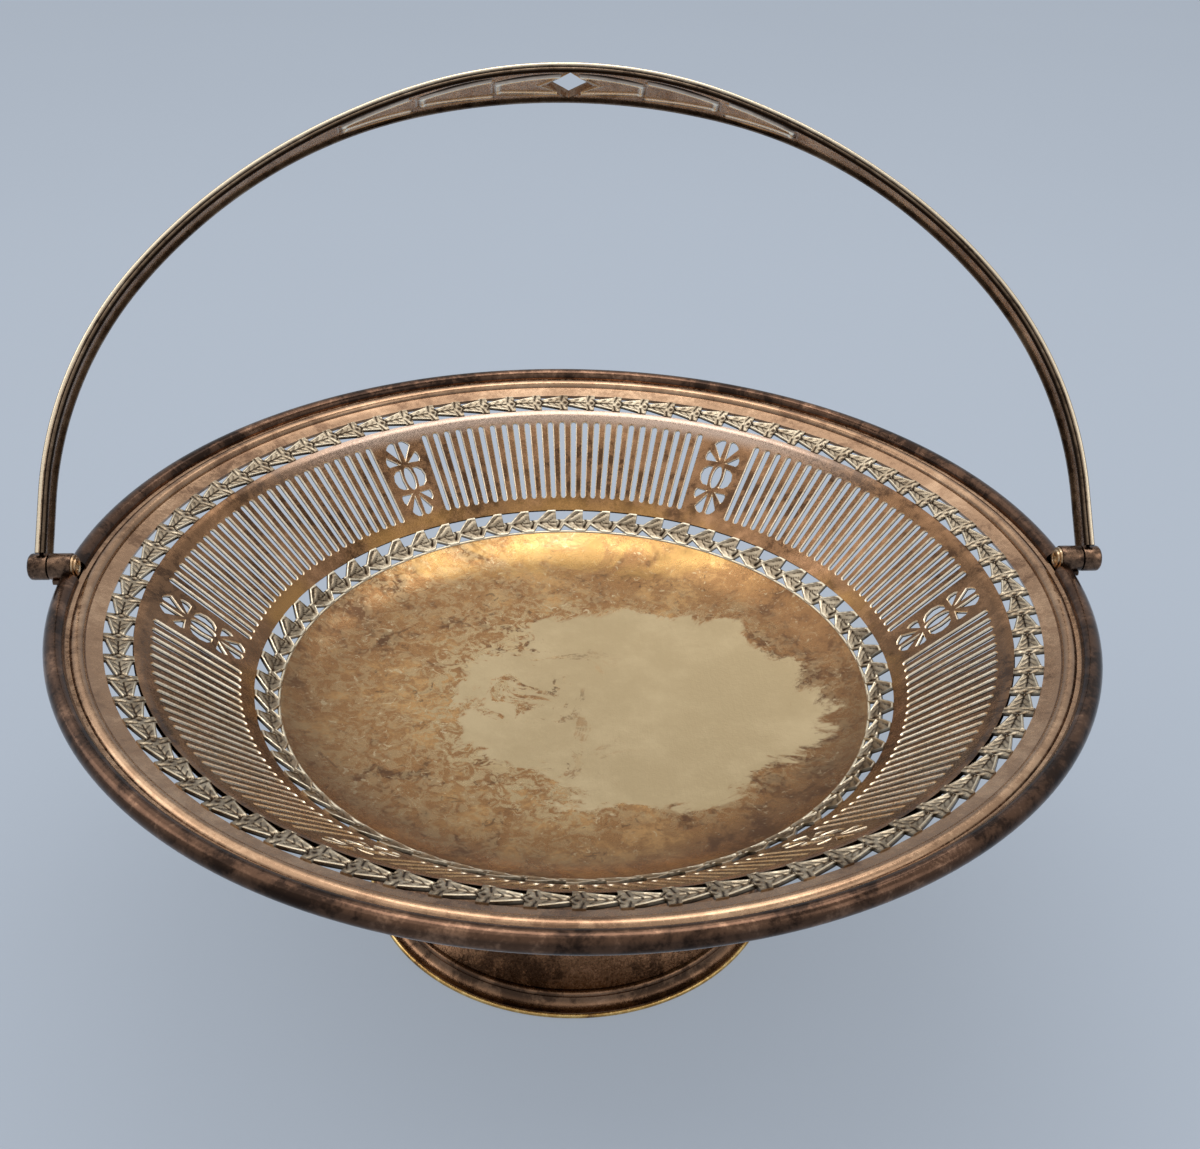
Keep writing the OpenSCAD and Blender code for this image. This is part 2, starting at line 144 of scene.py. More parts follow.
# Finishes: scale, rubbed share, bright, brown and dark colours, roughness, and bump where it isn't the usual
PALE = (0.62, 0.55, 0.41)
ROSE = (0.36, 0.21, 0.13)
PLATES = {
    "leaf_silver_painted_light": (60.0, 0.06, ((0.45, 0.375, 0.27), (0.31, 0.247, 0.17), (0.17, 0.126, 0.082)), 0.34),
    # Painted light on the slots' cut walls: a highlight on their upper part and shade on their lower part
    "cut_painted_highlight": (90.0, 0.25, ((0.95, 0.81, 0.61), (0.80, 0.63, 0.43), (0.46, 0.31, 0.18)), 0.28),
    "cut_shade": (90.0, -0.1, ((0.2, 0.12, 0.07), (0.1, 0.06, 0.035), (0.05, 0.03, 0.018)), 0.4),
    "rim_tarnish": (18.0, 0.05, ((0.49, 0.32, 0.2), (0.35, 0.215, 0.13), (0.2, 0.115, 0.069)), 0.22, 0.02),
    "roll_tarnish": (
        34.0, -0.12, ((0.25, 0.145, 0.092), (0.095, 0.053, 0.034), (0.03, 0.018, 0.013)), 0.14, 0.03,
    ),
    "foot_tarnish": (36.0, -0.1, (ROSE, (0.24, 0.135, 0.078), (0.09, 0.05, 0.03)), 0.22),
    "brass_edge": (80.0, 0.1, ((0.80, 0.55, 0.22), (0.55, 0.33, 0.11), (0.2, 0.1, 0.04)), 0.28),
    "hinge_tarnish": (120.0, -0.1, (ROSE, (0.14, 0.085, 0.055), (0.04, 0.025, 0.018)), 0.26),
    "pin_silver": (120.0, 0.12, (PALE, (0.45, 0.30, 0.17), (0.1, 0.06, 0.035)), 0.26),
    "strap_tarnish_painted_light": (30.0, 0.0, ((0.66, 0.55, 0.45), (0.48, 0.385, 0.31), (0.27, 0.2, 0.155)), 0.26, 0.03),
    "reed_tarnish_painted_light": (60.0, 0.0, ((0.46, 0.35, 0.245), (0.27, 0.19, 0.125), (0.09, 0.06, 0.04)), 0.22),
}

# Camera fitted to the photo: place in metres, turn in degrees, lens and sensor in millimetres
CAMERA_PLACE = (-0.01855, -0.30986, 0.29269)
CAMERA_TURN = (58.694, -1.576, -3.561)
CAMERA_LENS = 40.52
CAMERA_SENSOR = 36
FLOOR_SIZE = 12

# Soft lamps: place, target, width and depth in metres, then power in watts
LAMPS = {
    "lamp_top": ((0.1, 0.24, 1.25), (0.1, 0, 0.08), (1.0, 0.5), 4.6),
    "lamp_back": ((0.3, 0.7, 1.05), (0, 0, 0.08), (0.34, 0.34), 0.6),
    "lamp_left": ((-0.9, 0.2, 0.7), (0, 0, 0.08), (0.5, 0.5), 1.1),
    "lamp_right": ((0.8, -0.5, 0.8), (0, 0, 0.1), (0.5, 0.5), 0.7),
}

# Finishes with painted relief light: colour of the painted shade in their recesses and of the painted
# highlight on their crests
RELIEF_LIGHT = {
    "leaf_silver_painted_light": ((0.035, 0.021, 0.012), (0.72, 0.635, 0.48)),
    "strap_tarnish_painted_light": ((0.03, 0.018, 0.012), (1.0, 0.93, 0.78)),
    "reed_tarnish_painted_light": ((0.018, 0.011, 0.007), (0.75, 0.63, 0.46)),
}


class BasketSizes(bpy.types.PropertyGroup):
    """Sizes of the basket."""

    rim_radius: bpy.props.FloatProperty(
        name="Rim radius",
        description="Outer radius of the rolled rim",
        default=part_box("rim_wire")[1].y,
        unit="LENGTH",
    )
    foot_radius: bpy.props.FloatProperty(
        name="Foot radius",
        description="Radius of the foot's base",
        default=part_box("foot")[1].x,
        unit="LENGTH",
    )
    outer_leaves: bpy.props.IntProperty(
        name="Outer leaves",
        description="Number of leaves in the outer band",
        default=81,
    )
    inner_leaves: bpy.props.IntProperty(
        name="Inner leaves",
        description="Number of leaves in the inner band",
        default=60,
    )
    panels: bpy.props.IntProperty(
        name="Panels",
        description="Number of pierced panels in the gallery",
        default=6,
    )
    panel_slots: bpy.props.IntProperty(
        name="Slots",
        description="Number of slots in a panel",
        default=25,
    )
    slot_pitch: bpy.props.FloatProperty(
        name="Slot pitch",
        description="Angle from slot to slot",
        default=math.radians(2.06),
        subtype="ANGLE",
    )
    leaf_relief: bpy.props.FloatProperty(
        name="Leaf relief",
        description="Height of the leaves' raised middle",
        default=0.00035,
        unit="LENGTH",
    )
    strap_top: bpy.props.FloatProperty(
        name="Strap width",
        description="Width of the handle's strap at the top",
        default=0.018,
        unit="LENGTH",
    )
    strap_end: bpy.props.FloatProperty(
        name="Leg width",
        description="Width of the handle's strap at its legs",
        default=0.0076,
        unit="LENGTH",
    )
    lozenge: bpy.props.FloatProperty(
        name="Lozenge",
        description="Length of the lozenge pierced in the handle",
        default=0.0115,
        unit="LENGTH",
    )


class BasketFinish(bpy.types.PropertyGroup):
    """Colours of the basket's finishes."""

    bright: bpy.props.FloatVectorProperty(
        name="Bright plate",
        description="Colour of rubbed silver plate",
        default=(0.475, 0.373, 0.222),
        subtype="COLOR",
    )
    floor: bpy.props.FloatVectorProperty(
        name="Floor",
        description="Colour of the floor",
        default=(0.43, 0.487, 0.565),
        subtype="COLOR",
    )


def sizes():
    """Gives the scene's basket sizes."""
    return bpy.context.scene.basket_sizes


def finish():
    """Gives the scene's basket colours."""
    return bpy.context.scene.basket_finish


# Section of the dish


def seams():
    """Gives radius and height, in millimetres, of the sheet's upper face at each seam."""
    rim = sizes().rim_radius / MM
    outer = Vector((rim - OUTER_IN, RIM_Z - OUTER_DROP))
    outer_in = outer - OUTER_W * Vector((1, math.tan(BORDER_SLOPE)))
    turn = SHOULDER_R * math.tan((WALL_SLOPE - BORDER_SLOPE) / 2)
    corner = outer_in - turn * Vector((math.cos(BORDER_SLOPE), math.sin(BORDER_SLOPE)))
    wall_top = corner - turn * Vector((math.cos(WALL_SLOPE), math.sin(WALL_SLOPE)))
    drop = corner.x - (rim - INNER_IN)
    inner = corner - drop * Vector((1, math.tan(WALL_SLOPE)))
    inner_in = inner - INNER_W * Vector((1, math.tan(INNER_SLOPE)))
    return {
        "rim": rim,
        "outer": outer,
        "outer_in": outer_in,
        "wall_top": wall_top,
        "inner": inner,
        "inner_in": inner_in,
    }


def arc(centre, radius, start, end, count):
    """Gives points on an arc round a centre, with angles in radians."""
    points = []
    for i in range(count + 1):
        a = start + (end - start) * i / count
        points.append(Vector((centre[0] + radius * math.cos(a), centre[1] + radius * math.sin(a))))
    return points


# Modelling steps


def deselect():
    """Leaves edit mode and selects nothing."""
    if bpy.context.object and bpy.context.object.mode != "OBJECT":
        bpy.ops.object.mode_set(mode="OBJECT")
    bpy.ops.object.select_all(action="DESELECT")


def take(*objects):
    """Selects only the given objects and makes the first one active."""
    deselect()
    for obj in objects:
        obj.select_set(True)
    bpy.context.view_layer.objects.active = objects[0]


def edit(obj):
    """Opens an object in edit mode with everything selected."""
    take(obj)
    bpy.ops.object.mode_set(mode="EDIT")
    bpy.ops.mesh.select_all(action="SELECT")


def pick(obj, kind, test):
    """Opens an object in edit mode with only the points, edges or faces selected that pass a test."""
    edit(obj)
    bpy.ops.mesh.select_mode(type=kind)
    bpy.ops.mesh.select_all(action="DESELECT")
    bpy.ops.object.mode_set(mode="OBJECT")
    items = {"VERT": obj.data.vertices, "EDGE": obj.data.edges, "FACE": obj.data.polygons}[kind]
    for item in items:
        item.select = test(item)
    bpy.ops.object.mode_set(mode="EDIT")


def clean(obj):
    """Merges doubles and turns all faces outwards."""
    edit(obj)
    bpy.ops.mesh.remove_doubles(threshold=WELD)
    bpy.ops.mesh.normals_make_consistent(inside=False)
    bpy.ops.object.mode_set(mode="OBJECT")


def close_ends(obj):
    """Fills the open ends of a swept piece."""
    edit(obj)
    bpy.ops.mesh.select_mode(type="EDGE")
    bpy.ops.mesh.select_all(action="DESELECT")
    bpy.ops.mesh.select_non_manifold(extend=False)
    bpy.ops.mesh.fill_holes(sides=0)
    bpy.ops.mesh.select_mode(type="VERT")
    bpy.ops.object.mode_set(mode="OBJECT")
    clean(obj)


def smooth(obj, degrees=35):
    """Shades an object smooth, apart from its sharp edges."""
    take(obj)
    bpy.ops.object.shade_smooth_by_angle(angle=math.radians(degrees))


def apply(obj, kind, **settings):
    """Adds a modifier with the given settings and applies it."""
    take(obj)
    step = obj.modifiers.new(kind.title(), kind)
    for name, value in settings.items():
        setattr(step, name, value)
    bpy.ops.object.modifier_apply(modifier=step.name)


def repeat(obj, count, pitch):
    """Repeats a flat piece along x, at a pitch in millimetres, and welds the copies."""
    apply(
        obj,
        "ARRAY",
        count=count,
        use_relative_offset=False,
        use_constant_offset=True,
        constant_offset_displace=(pitch * MM, 0, 0),
        use_merge_vertices=True,
        merge_threshold=WELD,
    )


def join(first, *others):
    """Joins objects into the first one."""
    take(first, *others)
    bpy.ops.object.join()
    return first


def spin(name, outline, centre, axis, steps):
    """Spins a closed outline of places, in metres, round an axis."""
    deselect()
    bpy.ops.mesh.primitive_circle_add(vertices=len(outline), radius=MM, location=(0, 0, 0))
    obj = bpy.context.object
    obj.name = name
    for point, place in zip(obj.data.vertices, outline):
        point.co = place
    edit(obj)
    bpy.ops.mesh.spin(steps=steps, angle=2 * math.pi, center=centre, axis=axis)
    clean(obj)
    return obj


def lathe(name, section):
    """Spins a closed section of radius and height points, in millimetres, round the upright axis."""
    outline = [(r * MM, 0, z * MM) for r, z in section]
    return spin(name, outline, (0, 0, 0), (0, 0, 1), RING_STEPS)


def lathe_x(name, section):
    """Spins a closed section of distance and radius points, in millimetres, round the hinge line."""
    outline = [(x * MM, 0, (AXIS_Z + r) * MM) for x, r in section]
    return spin(name, outline, (0, 0, AXIS_Z * MM), (1, 0, 0), BARREL_STEPS)


def grid(name, columns, rows, place):
    """Adds a grid and moves each point to the place, in millimetres, given for its column and row."""
    deselect()
    bpy.ops.mesh.primitive_grid_add(x_subdivisions=columns, y_subdivisions=rows, size=2, location=(0, 0, 0))
    obj = bpy.context.object
    obj.name = name
    for point in obj.data.vertices:
        column = round((point.co.x + 1) / 2 * columns)
        row = round((point.co.y + 1) / 2 * rows)
        point.co = Vector(place(column, row)) * MM
    return obj


def mark(obj, value):
    """Stores on each point how far it stands out, from 0 in a recess to 1, as value gives it."""
    layer = obj.data.attributes.new("relief", "FLOAT", "POINT")
    levels = [min(max(value(point.co / MM), 0.0), 1.0) for point in obj.data.vertices]
    layer.data.foreach_set("value", levels)


def wrap(obj, flat_r, profile):
    """Wraps a flat piece round the upright axis: x runs round it, profile gives radius and height."""
    for point in obj.data.vertices:
        x, y, z = point.co / MM
        r, h = profile(y, z)
        a = x / flat_r
        point.co = Vector((r * math.cos(a), r * math.sin(a), h)) * MM


def mirrored(obj, name):
    """Copies a piece with its own mesh to the other side of the basket."""
    take(obj)
    bpy.ops.object.duplicate()
    copy = bpy.context.object
    copy.name = name
    copy.data.name = name
    edit(copy)
    bpy.ops.transform.mirror(constraint_axis=(True, False, False), center_override=(0, 0, 0))
    bpy.ops.mesh.normals_make_consistent(inside=False)
    bpy.ops.object.mode_set(mode="OBJECT")
    return copy


def keep(obj, body, slot, materials, *nodes):
    """Gives a finished piece its materials, its body and the solids it stands for."""
    kinds = [face.material_index for face in obj.data.polygons]
    obj.data.materials.clear()
    for material in materials:
        obj.data.materials.append(material)
    obj.data.polygons.foreach_set("material_index", kinds)
    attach(obj, body)
    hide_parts(*nodes)


# Finishes


def group(name, inputs, outputs):
    """Starts a node group with the given sockets."""
    tree = bpy.data.node_groups.new(name, "ShaderNodeTree")
    for label, kind, value in inputs:
        socket = tree.interface.new_socket(label, in_out="INPUT", socket_type=kind)
        if value is not None:
            socket.default_value = value
    for label, kind in outputs:
        tree.interface.new_socket(label, in_out="OUTPUT", socket_type=kind)
    return tree, tree.nodes.new("NodeGroupInput"), tree.nodes.new("NodeGroupOutput")


def noise(tree, vector, scale, detail=6.0, roughness=0.6, distortion=0.0):
    """Adds a noise texture and gives its value."""
    node = tree.nodes.new("ShaderNodeTexNoise")
    node.inputs["Detail"].default_value = detail
    node.inputs["Roughness"].default_value = roughness
    node.inputs["Distortion"].default_value = distortion
    tree.links.new(vector, node.inputs["Vector"])
    if isinstance(scale, (int, float)):
        node.inputs["Scale"].default_value = scale
    else:
        tree.links.new(scale, node.inputs["Scale"])
    return node.outputs[0]


def math_node(tree, operation, *values):
    """Adds a math node for the given values or sockets."""
    node = tree.nodes.new("ShaderNodeMath")
    node.operation = operation
    for socket, value in zip(node.inputs, values):
        if isinstance(value, (int, float)):
            socket.default_value = value
        else:
            tree.links.new(value, socket)
    return node.outputs[0]


def ramp(tree, value, low, high, to_low=0.0, to_high=1.0):
    """Maps a range of a value smoothly to another range."""
    node = tree.nodes.new("ShaderNodeMapRange")
    node.interpolation_type = "SMOOTHSTEP"
    for socket, number in zip(node.inputs[1:5], (low, high, to_low, to_high)):
        if isinstance(number, (int, float)):
            socket.default_value = number
        else:
            tree.links.new(number, socket)
    tree.links.new(value, node.inputs[0])
    return node.outputs[0]


def mix(tree, factor, first, second):
    """Mixes two colours."""
    node = tree.nodes.new("ShaderNodeMix")
    node.data_type = "RGBA"
    for socket, value in ((node.inputs[0], factor), (node.inputs[6], first), (node.inputs[7], second)):
        if isinstance(value, (int, float)):
            socket.default_value = value
        elif isinstance(value, tuple):
            socket.default_value = (*value, 1.0)
        else:
            tree.links.new(value, socket)
    return node.outputs[2]


def tarnish_group():
    """Builds the mottled tarnish that all the plated pieces share."""
    tree, start, end = group(
        "Tarnish",
        [
            ("Vector", "NodeSocketVector", None),
            ("Scale", "NodeSocketFloat", 30.0),
            ("Rubbed", "NodeSocketFloat", 0.0),
            ("Bright", "NodeSocketColor", None),
            ("Brown", "NodeSocketColor", None),
            ("Dark", "NodeSocketColor", None),
        ],
        [("Color", "NodeSocketColor"), ("Roughness", "NodeSocketFloat"), ("Height", "NodeSocketFloat")],
    )
    vector = start.outputs["Vector"]
    scale = start.outputs["Scale"]
    broad = ramp(tree, noise(tree, vector, scale, 4, 0.55, 0.6), 0.36, 0.64)
    middle = noise(tree, vector, math_node(tree, "MULTIPLY", scale, 5.0), 8, 0.65, 0.4)
    middle = ramp(tree, middle, 0.36, 0.64)
    fine = noise(tree, vector, math_node(tree, "MULTIPLY", scale, 34.0), 4, 0.7)
    fine = ramp(tree, fine, 0.36, 0.64)
    level = math_node(tree, "MULTIPLY_ADD", middle, 0.42, math_node(tree, "MULTIPLY", broad, 0.44))
    level = math_node(tree, "MULTIPLY_ADD", fine, 0.14, level)
    level = math_node(tree, "ADD", level, start.outputs["Rubbed"])
    under = mix(tree, ramp(tree, level, 0.1, 0.48), start.outputs["Dark"], start.outputs["Brown"])
    colour = mix(tree, ramp(tree, level, 0.52, 0.95), under, start.outputs["Bright"])
    rough = ramp(tree, level, 0.1, 0.9, 0.34, 0.2)
    tree.links.new(colour, end.inputs["Color"])
    tree.links.new(rough, end.inputs["Roughness"])
    tree.links.new(fine, end.inputs["Height"])
    return tree


def scratch_group():
    """Builds fine rubbing scratches that run in two directions."""
    tree, start, end = group(
        "Rubbing",
        [("Vector", "NodeSocketVector", None), ("Scale", "NodeSocketFloat", 900.0)],
        [("Height", "NodeSocketFloat")],
    )
    total = None
    for turn in (0.5, -0.9):
        mapping = tree.nodes.new("ShaderNodeMapping")
        mapping.inputs["Rotation"].default_value = (0, 0, turn)
        mapping.inputs["Scale"].default_value = (1.0, 0.03, 1.0)
        tree.links.new(start.outputs["Vector"], mapping.inputs["Vector"])
        lines = noise(tree, mapping.outputs[0], start.outputs["Scale"], 3, 0.5)
        lines = ramp(tree, lines, 0.45, 0.75)
        total = lines if total is None else math_node(tree, "ADD", total, lines)
    tree.links.new(total, end.inputs["Height"])
    return tree


def plate(name, scale, rubbed, colours, roughness=None, bump=0.08):
    """Makes a tarnished plate finish with fine scratches."""
    material = bpy.data.materials.new(name)
    material.use_nodes = True
    tree = material.node_tree
    shader = tree.nodes["Principled BSDF"]
    shader.inputs["Metallic"].default_value = 1.0
    place = tree.nodes.new("ShaderNodeTexCoord").outputs["Object"]
    stain = tree.nodes.new("ShaderNodeGroup")
    stain.node_tree = bpy.data.node_groups["Tarnish"]
    stain.inputs["Scale"].default_value = scale
    stain.inputs["Rubbed"].default_value = rubbed
    for label, colour in zip(("Bright", "Brown", "Dark"), colours):
        stain.inputs[label].default_value = (*colour, 1.0)
    tree.links.new(place, stain.inputs["Vector"])
    lines = tree.nodes.new("ShaderNodeGroup")
    lines.node_tree = bpy.data.node_groups["Rubbing"]
    tree.links.new(place, lines.inputs["Vector"])
    tree.links.new(stain.outputs["Color"], shader.inputs["Base Color"])
    if roughness is None:
        tree.links.new(stain.outputs["Roughness"], shader.inputs["Roughness"])
    else:
        rough = ramp(tree, stain.outputs["Height"], 0.3, 0.7, roughness - 0.06, roughness + 0.06)
        tree.links.new(rough, shader.inputs["Roughness"])
    height = math_node(tree, "MULTIPLY_ADD", lines.outputs["Height"], 0.4, stain.outputs["Height"])
    knobs = tree.nodes.new("ShaderNodeBump")
    knobs.inputs["Strength"].default_value = bump
    knobs.inputs["Distance"].default_value = 0.0004
    tree.links.new(height, knobs.inputs["Height"])
    tree.links.new(knobs.outputs[0], shader.inputs["Normal"])
    return material


def painted(material):
    """Gives a finish's nodes, its shader and the colour and place that it already has."""
    tree = material.node_tree
    shader = tree.nodes["Principled BSDF"]
    stained = shader.inputs["Base Color"].links[0].from_socket
    place = next(n for n in tree.nodes if n.bl_idname == "ShaderNodeTexCoord").outputs["Object"]
    return tree, shader, stained, place


def paint_relief_light(material, shade, highlight):
    """Paints shade on a finish where the relief mark is low, and paints a highlight where the mark is high.
    """
    tree, shader, stained = painted(material)[:3]
    depth = tree.nodes.new("ShaderNodeAttribute")
    depth.attribute_name = "relief"
    # Low marks take the painted shade and high marks the painted highlight
    raised = ramp(tree, depth.outputs["Fac"], 0.02, 0.5)
    rubbed = ramp(tree, depth.outputs["Fac"], 0.62, 0.95)
    colour = mix(tree, rubbed, mix(tree, raised, shade, stained), highlight)
    tree.links.new(colour, shader.inputs["Base Color"])


def radius(tree, place):
    """Gives the distance from the upright axis."""
    level = tree.nodes.new("ShaderNodeVectorMath")
    level.operation = "MULTIPLY"
    level.inputs[1].default_value = (1, 1, 0)
    tree.links.new(place, level.inputs[0])
    length = tree.nodes.new("ShaderNodeVectorMath")
    length.operation = "LENGTH"
    tree.links.new(level.outputs[0], length.inputs[0])
    return length.outputs["Value"]


def wall_plate():
    """Makes the gallery's finish: brown, golden round the inner leaf band, with a pale painted highlight on
    the back's shoulder.
    """
    colours = ((0.34, 0.185, 0.096), (0.215, 0.115, 0.058), (0.085, 0.045, 0.024))
    material = plate("wall_tarnish_painted_light", 40.0, -0.04, colours, 0.26, 0.02)
    tree, shader, stained, place = painted(material)
    reach = radius(tree, place)
    gold = ramp(tree, reach, 0.089, 0.0935, 0.7, 0.0)
    gold = math_node(tree, "MULTIPLY", gold, ramp(tree, noise(tree, place, 26.0, 5), 0.42, 0.62))
    colour = mix(tree, gold, stained, (0.42, 0.225, 0.075))
    axes = tree.nodes.new("ShaderNodeSeparateXYZ")
    tree.links.new(place, axes.inputs[0])
    # Painted highlight: the shoulder is paler at the back only, where the top lamp's reflection falls
    back = ramp(tree, axes.outputs[1], 0.05, 0.1)
    pale = math_node(tree, "MULTIPLY", ramp(tree, reach, 0.109, 0.1125), back)
    colour = mix(tree, math_node(tree, "MULTIPLY", pale, 0.8), colour, (0.44, 0.335, 0.27))
    tree.links.new(colour, shader.inputs["Base Color"])


def well_plate():
    """Makes the well's finish: a ragged rubbed patch, golden flecks, brown tarnish, a painted golden
    highlight streak at the back and painted shade round the edge.
    """
    colours = ((0.53, 0.305, 0.125), (0.32, 0.168, 0.069), (0.105, 0.054, 0.028))
    patch_x, patch_y, patch_wide, patch_deep = 0.017, -0.004, 0.052, 0.046
    material = plate("worn_well_painted_light", 24.0, 0.0, colours, bump=0.06)
    tree, shader, stained, place = painted(material)
    centre = tree.nodes.new("ShaderNodeMapping")
    centre.inputs["Location"].default_value = (-patch_x / patch_wide, -patch_y / patch_deep, 0)
    centre.inputs["Scale"].default_value = (1 / patch_wide, 1 / patch_deep, 0)
    tree.links.new(place, centre.inputs["Vector"])
    reach = tree.nodes.new("ShaderNodeVectorMath")
    reach.operation = "LENGTH"
    tree.links.new(centre.outputs[0], reach.inputs[0])
    ragged = noise(tree, place, 34.0, 10, 0.72, 0.6)
    edge = math_node(tree, "SUBTRACT", reach.outputs["Value"], 0.5)
    edge = math_node(tree, "MULTIPLY_ADD", ragged, 1.0, edge)
    axes = tree.nodes.new("ShaderNodeSeparateXYZ")
    tree.links.new(centre.outputs[0], axes.inputs[0])
    left = ramp(tree, axes.outputs[0], 0.1, -0.7)
    specks = ramp(tree, noise(tree, place, 70.0, 8, 0.7, 0.9), 0.55, 0.6)
    islands = math_node(tree, "MULTIPLY", left, specks)
    rubbed = math_node(tree, "SUBTRACT", ramp(tree, edge, 0.93, 0.99, 1.0, 0.0), islands)
    flecks = ramp(tree, noise(tree, place, 260.0, 5, 0.7, 1.2), 0.46, 0.56)
    zone = math_node(tree, "MULTIPLY_ADD", left, 0.45, ramp(tree, edge, 0.95, 1.35, 0.55, 0.0))
    gold = math_node(tree, "MULTIPLY", zone, flecks)
    colour = mix(tree, gold, stained, (0.50, 0.37, 0.20))
    spots = ramp(tree, noise(tree, place, 320.0, 4, 0.7, 1.6), 0.6, 0.66)
    colour = mix(tree, math_node(tree, "MULTIPLY", spots, 0.7), colour, (0.62, 0.50, 0.31))
    pits = ramp(tree, noise(tree, place, 210.0, 5, 0.7, 1.2), 0.4, 0.34)
    colour = mix(tree, math_node(tree, "MULTIPLY", pits, 0.6), colour, (0.1, 0.055, 0.03))
    # Painted highlight: a golden streak along the well's back edge, where the top lamp's reflection falls
    streak = math_node(tree, "MULTIPLY_ADD", ragged, 0.6, axes.outputs[1])
    streak = ramp(tree, streak, 1.64, 1.8, 0.0, 0.6)
    broken = ramp(tree, noise(tree, place, 44.0, 6, 0.65, 0.8), 0.36, 0.56)
    streak = math_node(tree, "MULTIPLY", streak, broken)
    colour = mix(tree, streak, colour, (0.60, 0.36, 0.12))
    # Painted shade round the well's edge, fading out towards the back
    rim = ramp(tree, radius(tree, place), 0.05, 0.079)
    front = ramp(tree, axes.outputs[1], 1.25, 0.9)
    shade = math_node(tree, "MULTIPLY", math_node(tree, "MULTIPLY", rim, front), 0.5)
    colour = mix(tree, shade, colour, (0.15, 0.079, 0.04))
    cloud = ramp(tree, noise(tree, place, 26.0, 8, 0.7), 0.4, 0.62)
    worn = mix(tree, cloud, (0.412, 0.318, 0.182), tuple(finish().bright))
    colour = mix(tree, rubbed, colour, worn)
    tree.links.new(colour, shader.inputs["Base Color"])
    rough = shader.inputs["Roughness"].links[0].from_socket
    smoother = tree.nodes.new("ShaderNodeMix")
    tree.links.new(rubbed, smoother.inputs[0])
    tree.links.new(rough, smoother.inputs[2])
    smoother.inputs[3].default_value = 0.42
    tree.links.new(smoother.outputs[0], shader.inputs["Roughness"])


def finishes():
    """Makes each finish once and gives them by name."""
    if "Tarnish" not in bpy.data.node_groups:
        tarnish_group()
        scratch_group()
        well_plate()
        wall_plate()
        for name, values in PLATES.items():
            plate(name, *values)
        for name, (shade, highlight) in RELIEF_LIGHT.items():
            paint_relief_light(bpy.data.materials[name], shade, highlight)
    return bpy.data.materials


# Pieces of the basket


class BASKET_OT_well(bpy.types.Operator):
    """Turns the shallow well in the middle of the dish"""

    bl_idname = "basket.well"
    bl_label = "Well"

    def execute(self, context):
        edge = seams()["inner_in"]
        bend = Vector((edge.x - WELL_CURVE * math.sin(WELL_EDGE), edge.y + WELL_CURVE * math.cos(WELL_EDGE)))
        flat = bend + WELL_CURVE * Vector((math.sin(WELL_FLAT), -math.cos(WELL_FLAT)))
        cap_r = flat.x / math.sin(WELL_FLAT)
        cap = Vector((0, flat.y + cap_r * math.cos(WELL_FLAT)))
        down = -math.pi / 2
        section = []
        section += arc(cap, cap_r, down, down + WELL_FLAT, 8)
        section += arc(bend, WELL_CURVE, down + WELL_FLAT, down + WELL_EDGE, 8)[1:]
        section += arc(bend, WELL_CURVE + SHEET, down + WELL_EDGE, down + WELL_FLAT, 8)
        section += arc(cap, cap_r + SHEET, down + WELL_FLAT, down, 6)[1:]
        dish = lathe("well_dish_plate", section)
        smooth(dish)
        keep(dish, "basket", "well_plate", [finishes()["worn_well_painted_light"]], "well_dish")
        return {"FINISHED"}


def leaf_unit(name, length, columns, sides, height):
    """Models one flat leaf as a closed strip: sides gives its edges, height its relief, along its length."""
    back = {LEAF_ROWS + 1: 1.0, LEAF_ROWS + 2: 0.5, LEAF_ROWS + 3: 0.0}

    def place(column, row):
        u = columns[column]
        inner, outer = sides(u)
        if row <= LEAF_ROWS:
            t = row / LEAF_ROWS
            t = 0.5 * t + 0.25 * (1 - math.cos(math.pi * t))
            v = inner + (outer - inner) * t
            return (u * length, v, height(u, v, inner, outer))
        if row in back:
            return (u * length, inner + (outer - inner) * back[row], -LEAF_T)
        return (u * length, inner, height(u, inner, inner, outer))

    return grid(name, len(columns) - 1, LEAF_ROWS + 4, place)


def leaf_band(unit, count, length, middle, slope, floor):
    """Repeats a flat leaf and wraps the row round the dish: relief up to the floor is shaded."""
    repeat(unit, count, length)

    def profile(y, z):
        return (
            middle.x + y * math.cos(slope) - z * math.sin(slope),
            middle.y + y * math.sin(slope) + z * math.cos(slope),
        )

    mark(unit, lambda place: (place.z - floor) / RELIEF_RANGE)
    wrap(unit, middle.x, profile)
    clean(unit)
    smooth(unit, 50)
    return unit


def ridge(distance, width):
    """Gives a rounded ridge's height, from 1 at its middle to 0."""
    return math.exp(-((distance / width) ** 2))


